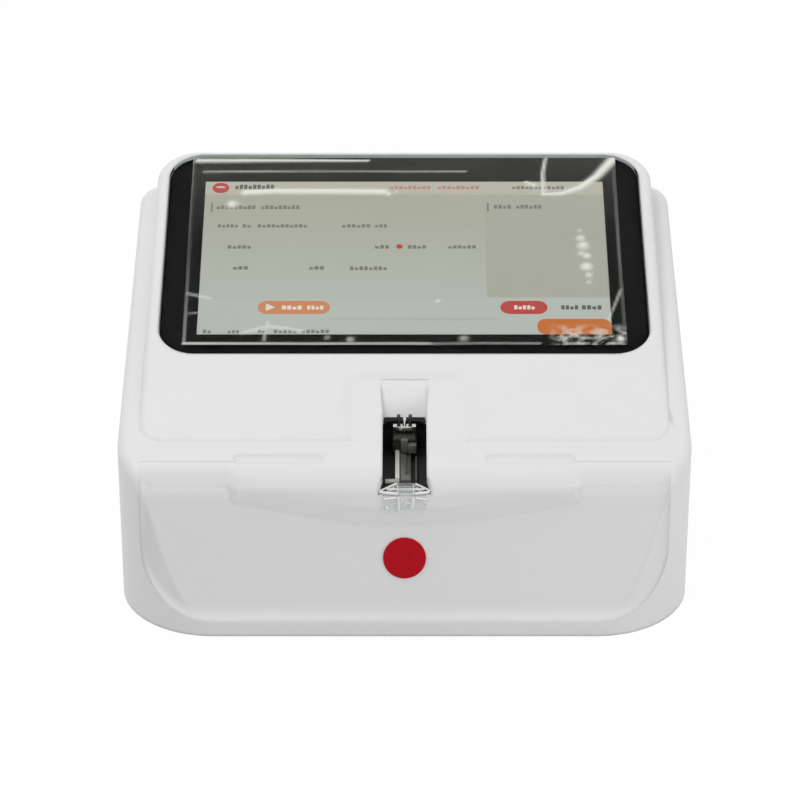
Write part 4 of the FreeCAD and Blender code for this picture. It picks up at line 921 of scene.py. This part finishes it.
class ANALYZER_OT_mark(Operator):
    """Makes the plain round enamel mark on the front panel"""
    bl_idname = "analyzer.mark"
    bl_label = "Round Mark"

    def execute(self, context):
        look = context.scene.analyzer_mark
        paint = Paint("mark_red_enamel")
        pooled = paint.mottle(3.0, 2.0)
        base = paint.mix(pooled, opaque(look.colour), tint(170, 4, 22))
        enamel = paint.finish(base, 0.3 + 0.1 * pooled, Normal=paint.bump(pooled, 0.02),
                              Specular_IOR_Level=0.12)
        mesh = bmesh.new()
        rim = BADGE_THICKNESS / 3
        rings = softened_rings(self.disc, 0.0, BADGE_THICKNESS, rim)
        for step in range(1, DOME_RINGS):
            share = step / DOME_RINGS
            height = BADGE_THICKNESS + look.dome / MM * (1 - (1 - share) ** 2)
            inset = rim + share * (BADGE_DIAMETER / 2 - rim)
            rings.append([(x, y, height) for x, y in self.disc(inset)])
        place = PANEL @ Matrix.Translation((0.0, -BADGE_DROP, -RECESS_DEPTH))
        add_loft(mesh, rings, place)
        piece_from("round_mark", mesh, enamel, "case", ["front_badge"])
        return {"FINISHED"}

    @staticmethod
    def disc(inset):
        radius = BADGE_DIAMETER / 2 - inset
        turns = (2 * math.pi * step / DISC_STEPS for step in range(DISC_STEPS))
        return [(radius * math.cos(turn), radius * math.sin(turn)) for turn in turns]


# Test slot

class ANALYZER_OT_slot(Operator):
    """Finishes what stands in the test slot: liner, holder, posts, head and clip"""
    bl_idname = "analyzer.slot"
    bl_label = "Test Slot"

    def execute(self, context):
        look = context.scene.analyzer_slot
        easing = look.easing / MM
        liner = moulded("slot_liner_black", tint(13, 13, 14), tint(19, 18, 19), 0.5, specular=0.2)
        eased("slot_liner", "black_slot_liner", easing, liner)
        mesh = bmesh.new()
        self.flange(mesh)
        piece_from("slot_liner_flange", mesh, liner, "case")
        paint = Paint("holder_smoky_olive")
        cloud = paint.mottle(2.5)
        base = paint.mix(cloud, opaque(look.holder), tint(46, 46, 38))
        holder = paint.finish(base, 0.16 + 0.1 * cloud, Alpha=0.7, Specular_IOR_Level=0.35,
                              Normal=paint.bump(cloud, 0.03))
        eased("cell_holder", "smoky_cell_holder", easing, holder)
        posts = worked_metal("post_dark_steel", tint(98, 98, 96), tint(60, 60, 60), 0.32, "Z", 0.3)
        eased("guide_posts", "two_guide_posts", easing, posts)
        chrome = worked_metal("head_bright_plate", tint(226, 226, 220), tint(190, 190, 184), 0.16,
                              spots=0.3)
        eased("contact_head", "cross_contact_head", easing, chrome, "head")
        optic = moulded("optic_grey_plastic", tint(112, 112, 106), tint(92, 92, 88), 0.4, specular=0.3)
        eased("optic_block", "stepped_optic_block", easing, optic)
        clip = moulded("clip_white_plastic", opaque(look.clip), tint(190, 190, 178), 0.3, 0.5)
        eased("guide_clip", "white_guide_clip", easing, clip)
        rail = moulded("rail_smoky_plastic", tint(92, 92, 86), tint(74, 74, 70), 0.3, specular=0.3)
        eased("guide_rail", "thin_guide_rail", easing / 2, rail)
        heater = worked_metal("warm_plate_aluminium", tint(206, 206, 208), tint(180, 180, 184), 0.35,
                              "Y")
        eased("heater_plate", "warm_plate", easing, heater)
        return {"FINISHED"}

    def flange(self, mesh):
        """The liner's rim: it covers the casing's edge behind the slot and laps over the scoop."""
        inner = (SLOT_HALF - FLANGE_LAP, SLOT_CORNER, SLOT_BACK - FLANGE_LAP)
        outer = (SLOT_HALF + FLANGE_LAP, SLOT_CORNER, SLOT_BACK + FLANGE_LAP)
        brim = (FLANGE_HALF, FLANGE_CORNER, FLANGE_BACK)
        profile = ((inner, FLANGE_ROOT), (inner, FLANGE_TOP), (brim, FLANGE_TOP),
                   (brim, FLANGE_UNDER), (outer, FLANGE_UNDER), (outer, FLANGE_ROOT))
        rings = []
        for step in range(FLANGE_STEPS + 1):
            angle = math.pi * step / FLANGE_STEPS
            side = 1 if step <= FLANGE_STEPS / 2 else -1
            ring = []
            for (half, corner, rear), lift in profile:
                x = side * (half - corner) + corner * math.cos(angle)
                y = CASE_FRONT + rear - corner + corner * math.sin(angle)
                deck = FOLD.z + (y - FOLD.y) * math.tan(DECK_SLOPE)
                ring.append((x, y, deck - SCOOP_DEPTH / math.cos(DECK_SLOPE) + lift))
            rings.append(ring)
        add_loft(mesh, rings, ROW)


# Ridges of the clear grip, flat at the mouth and on the lip over the panel, near white as painted
# highlights of the clear plastic: start, end, width
GRIP_RIDGES = (
    ((-2.9, 18.3), (-9.1, 12.7), 0.9),
    ((4.0, 18.0), (9.1, 13.2), 0.9),
    ((-6.4, 14.2), (7.2, 14.2), 0.9),
    ((-9.0, 12.2), (-2.6, 10.9), 1.1),
    ((3.6, 11.0), (9.0, 12.3), 1.1),
    ((-2.6, 18.0), (-2.2, 10.8), 0.5),
    ((3.3, 18.0), (3.2, 10.8), 0.5),
    ((-5.4, 12.9), (-3.8, 16.0), 0.4),
    ((5.6, 12.6), (4.6, 15.4), 0.4),
)
LIP_RIDGES = (
    ((-2.3, -0.2), (-1.9, -5.8), 0.9),
    ((3.2, -0.2), (2.7, -4.4), 1.1),
    ((-7.4, -0.8), (-3.0, -0.4), 0.7),
    ((4.0, -0.5), (8.0, -1.0), 0.7),
    ((-6.9, -3.4), (-5.8, -4.6), 0.8),
    ((0.2, -2.2), (1.9, -2.5), 0.4),
    ((-1.4, -5.2), (-0.9, -5.9), 0.8),
)


class ANALYZER_OT_cartridge(Operator):
    """Finishes the test cartridge with its clear grip at the mouth"""
    bl_idname = "analyzer.cartridge"
    bl_label = "Test Cartridge"

    def execute(self, context):
        easing = context.scene.analyzer_slot.easing / MM
        strip = moulded("strip_grey_plastic", tint(104, 104, 100), tint(84, 84, 82), 0.3, specular=0.4)
        eased("test_cartridge", "grey_test_strip", easing, strip)
        clear = clear_plastic("grip_clear_plastic", tint(236, 238, 238), 0.3, 0.08)
        eased("cartridge_grip", "clear_cartridge_grip", easing / 2, clear)
        mesh = bmesh.new()
        flat = ROW @ Matrix.Translation((0.0, CASE_FRONT, SLOT_FLOOR + RIDGE_LEVEL))
        hanging = (ROW @ Matrix.Translation((0.0, CASE_FRONT + SLOT_EDGE, SLOT_FLOOR))
                   @ Matrix.Rotation(PANEL_SLOPE, 4, "X") @ Matrix.Translation((0.0, 0.0, LIP_LEVEL)))
        for place, lines in ((flat, GRIP_RIDGES), (hanging, LIP_RIDGES)):
            for start, end, width in lines:
                self.ridge(mesh, place, Vector(start), Vector(end), width)
        # The ridges' near-opaque white is a painted highlight: it stands for the glints and reflections
        # in the clear grip.
        highlight_white = clear_plastic("grip_painted_highlights", tint(246, 247, 247), 0.85, 0.1, 1.0)
        piece_from("grip_highlight_ridges", mesh, highlight_white, "case")
        return {"FINISHED"}

    def ridge(self, mesh, place, start, end, width):
        """A low ridge with a rounded back along a line on a plane."""
        across = (end - start).normalized().orthogonal() * width / 2
        rings = []
        for point in (start, end):
            spots = [(point + across * share, rise) for share, rise in RIDGE_PROFILE]
            rings.append([(spot.x, spot.y, rise * width * RIDGE_RISE) for spot, rise in spots])
        add_loft(mesh, rings, place)


# Inside

class ANALYZER_OT_inside(Operator):
    """Finishes the boards and metalwork inside the casing"""
    bl_idname = "analyzer.inside"
    bl_label = "Inside"

    def execute(self, context):
        board = moulded("board_green_mask", tint(22, 96, 52), tint(16, 80, 44), 0.28, 1.2, 0.02)
        brass = worked_metal("standoff_brass", tint(214, 182, 106), tint(188, 152, 80), 0.3, "Z")
        steel = worked_metal("screw_zinc", tint(196, 198, 202), tint(160, 162, 168), 0.3)
        sheet = worked_metal("frame_sheet_steel", tint(190, 192, 196), tint(168, 170, 174), 0.4, "Y")
        ribbon = moulded("ribbon_white_film", tint(214, 214, 208), tint(196, 196, 190), 0.4)
        for node, material in (("main_board", board), ("detector_board", board),
                               ("board_standoffs", brass), ("board_screws", steel),
                               ("frame_screws", steel), ("lcd_frame", sheet), ("ribbon_cable", ribbon)):
            dress(node, material)
        tin = worked_metal("can_tinplate", tint(204, 204, 200), tint(182, 182, 178), 0.26)
        eased("processor_shield", "processor_can", 0.4, tin)
        sounder = moulded("sounder_black", tint(24, 24, 24), tint(30, 30, 30), 0.5)
        eased("speaker", "round_sounder", 0.5, sounder)
        return {"FINISHED"}


# Base

class ANALYZER_OT_base(Operator):
    """Finishes the feet and screws under the casing"""
    bl_idname = "analyzer.base"
    bl_label = "Base"

    def execute(self, context):
        rubber = moulded("foot_black_rubber", tint(34, 34, 34), tint(44, 44, 43), 0.85, 0.5, 0.03, 0.3)
        eased("rubber_feet", "four_rubber_feet", 0.4, rubber)
        steel = worked_metal("base_screw_zinc", tint(190, 192, 198), tint(150, 152, 158), 0.3)
        eased("base_screws", "four_base_screws", 0.15, steel)
        return {"FINISHED"}


# Rear side

class ANALYZER_OT_rear(Operator):
    """Finishes the sockets and the rocker switch at the rear"""
    bl_idname = "analyzer.rear"
    bl_label = "Rear Side"

    def execute(self, context):
        black = moulded("socket_black_plastic", tint(26, 26, 27), tint(33, 33, 34), 0.42)
        eased("dc_inlet", "low_voltage_inlet", 0.2, black)
        eased("switch_frame", "switch_surround", 0.3, black)
        nickel = worked_metal("socket_nickel", tint(204, 204, 200), tint(176, 176, 172), 0.24, "Y")
        eased("usb_ports", "two_bus_sockets", 0.08, nickel)
        eased("serial_port", "printer_socket", 0.2, nickel)
        face = ROW @ Matrix.Translation(SERIAL_FACE) @ Matrix.Rotation(-math.pi / 2, 4, "X")
        insert, contacts = bmesh.new(), bmesh.new()
        outline = round_outline(INSERT_WIDTH, INSERT_HEIGHT, INSERT_CORNER)
        slab(insert, outline, SOCKET_ROOT, INSERT_PROUD, face)
        piece_from("printer_socket_insert", insert, black, "case")
        for count, row in SERIAL_ROWS:
            for step in range(count):
                middle = ((step - (count - 1) / 2) * SERIAL_PITCH, row * SERIAL_PITCH)
                outline = round_outline(CONTACT_WIDTH, CONTACT_WIDTH, CONTACT_WIDTH / 2, middle)
                slab(contacts, outline, SOCKET_ROOT, CONTACT_PROUD, face)
        piece_from("printer_socket_contacts", contacts, nickel, "case")
        rocker = moulded("rocker_black_plastic", tint(22, 22, 23), tint(27, 27, 28), 0.24)
        eased("power_rocker", "power_rocker_key", 0.3, rocker, "rocker")
        return {"FINISHED"}


# Stage

class ANALYZER_OT_stage(Operator):
    """Sets the floor, the light and the camera"""
    bl_idname = "analyzer.stage"
    bl_label = "Stage"

    def execute(self, context):
        look = context.scene.analyzer_stage
        scene = context.scene
        scene.view_settings.view_transform = "Standard"
        self.floor(look)
        self.sky(scene, look)
        self.lamp("key_lamp", KEY_PLACE, KEY_SIZE, look.key)
        self.lamp("fill_lamp", FILL_PLACE, FILL_SIZE, look.fill)
        self.camera(scene)
        return {"FINISHED"}

    def floor(self, look):
        paint = Paint("pale_floor")
        matt = paint.node("BsdfDiffuse", {}, {"Color": opaque(look.floor)})
        white = paint.node("Emission", {}, {"Color": WHITE, "Strength": 1.0})
        share = paint.seen_white() * BACKDROP_SHARE
        blended = paint.node("MixShader", {}, {0: share, 1: matt, 2: white})
        paint.node("OutputMaterial", {}, {"Surface": blended})
        mesh = bmesh.new()
        bmesh.ops.create_grid(mesh, x_segments=8, y_segments=8, size=FLOOR_REACH)
        data = mesh_data("pale_floor", mesh)
        data.materials.append(paint.material)
        plane = linked("pale_floor", data)

    def sky(self, scene, look):
        world = bpy.data.worlds.new("studio")
        scene.world = world
        world.use_nodes = True
        wiring = Wiring(world.node_tree)
        level = look.sky + wiring.seen_white() * (1.0 - look.sky)
        light = wiring.node("Background", {}, {"Color": WHITE, "Strength": level})
        wiring.node("OutputWorld", {}, {"Surface": light})

    def lamp(self, name, place, size, power):
        data = bpy.data.lights.new(name, "AREA")
        data.size = size
        data.energy = power
        lamp = linked(name, data)
        lamp.location = place
        lamp.rotation_euler = (-Vector(place)).to_track_quat("-Z", "Y").to_euler()

    def camera(self, scene):
        """The view of the photograph."""
        data = bpy.data.cameras.new("front_view")
        data.sensor_width = SENSOR
        data.lens = CAMERA_FOCUS * SENSOR / PICTURE_WIDTH
        camera = linked("front_view", data)
        back = Vector((0.0, -math.cos(CAMERA_ELEVATION), math.sin(CAMERA_ELEVATION)))
        camera.location = CAMERA_AIM + back * CAMERA_DISTANCE
        camera.rotation_euler = (math.pi / 2 - CAMERA_ELEVATION, 0.0, 0.0)
        scene.camera = camera


# Panel and registration

STEPS = (
    ANALYZER_OT_casing, ANALYZER_OT_glass, ANALYZER_OT_display, ANALYZER_OT_film, ANALYZER_OT_mark,
    ANALYZER_OT_slot, ANALYZER_OT_cartridge, ANALYZER_OT_inside, ANALYZER_OT_base, ANALYZER_OT_rear,
    ANALYZER_OT_stage,
)
SETTINGS = (
    ("analyzer_casing", CasingSettings),
    ("analyzer_screen", ScreenSettings),
    ("analyzer_slot", SlotSettings),
    ("analyzer_mark", MarkSettings),
    ("analyzer_stage", StageSettings),
)


class ANALYZER_PT_looks(Panel):
    """Lists the analyzer's settings and steps"""
    bl_idname = "ANALYZER_PT_looks"
    bl_label = "Analyzer"
    bl_space_type = "VIEW_3D"
    bl_region_type = "UI"
    bl_category = "Analyzer"

    def draw(self, context):
        for name, group in SETTINGS:
            box = self.layout.box()
            for setting in group.__annotations__:
                box.prop(getattr(context.scene, name), setting)
        for step in STEPS:
            self.layout.operator(step.bl_idname)


CLASSES = (*(group for _, group in SETTINGS), *STEPS, ANALYZER_PT_looks)


def register():
    for entry in CLASSES:
        bpy.utils.register_class(entry)
    for name, group in SETTINGS:
        setattr(bpy.types.Scene, name, PointerProperty(type=group))


def unregister():
    for name, _ in SETTINGS:
        delattr(bpy.types.Scene, name)
    for entry in reversed(CLASSES):
        bpy.utils.unregister_class(entry)


def main():
    register()
    for step in STEPS:
        getattr(bpy.ops.analyzer, step.bl_idname.split(".")[1])()


if __name__ == "__main__":
    main()
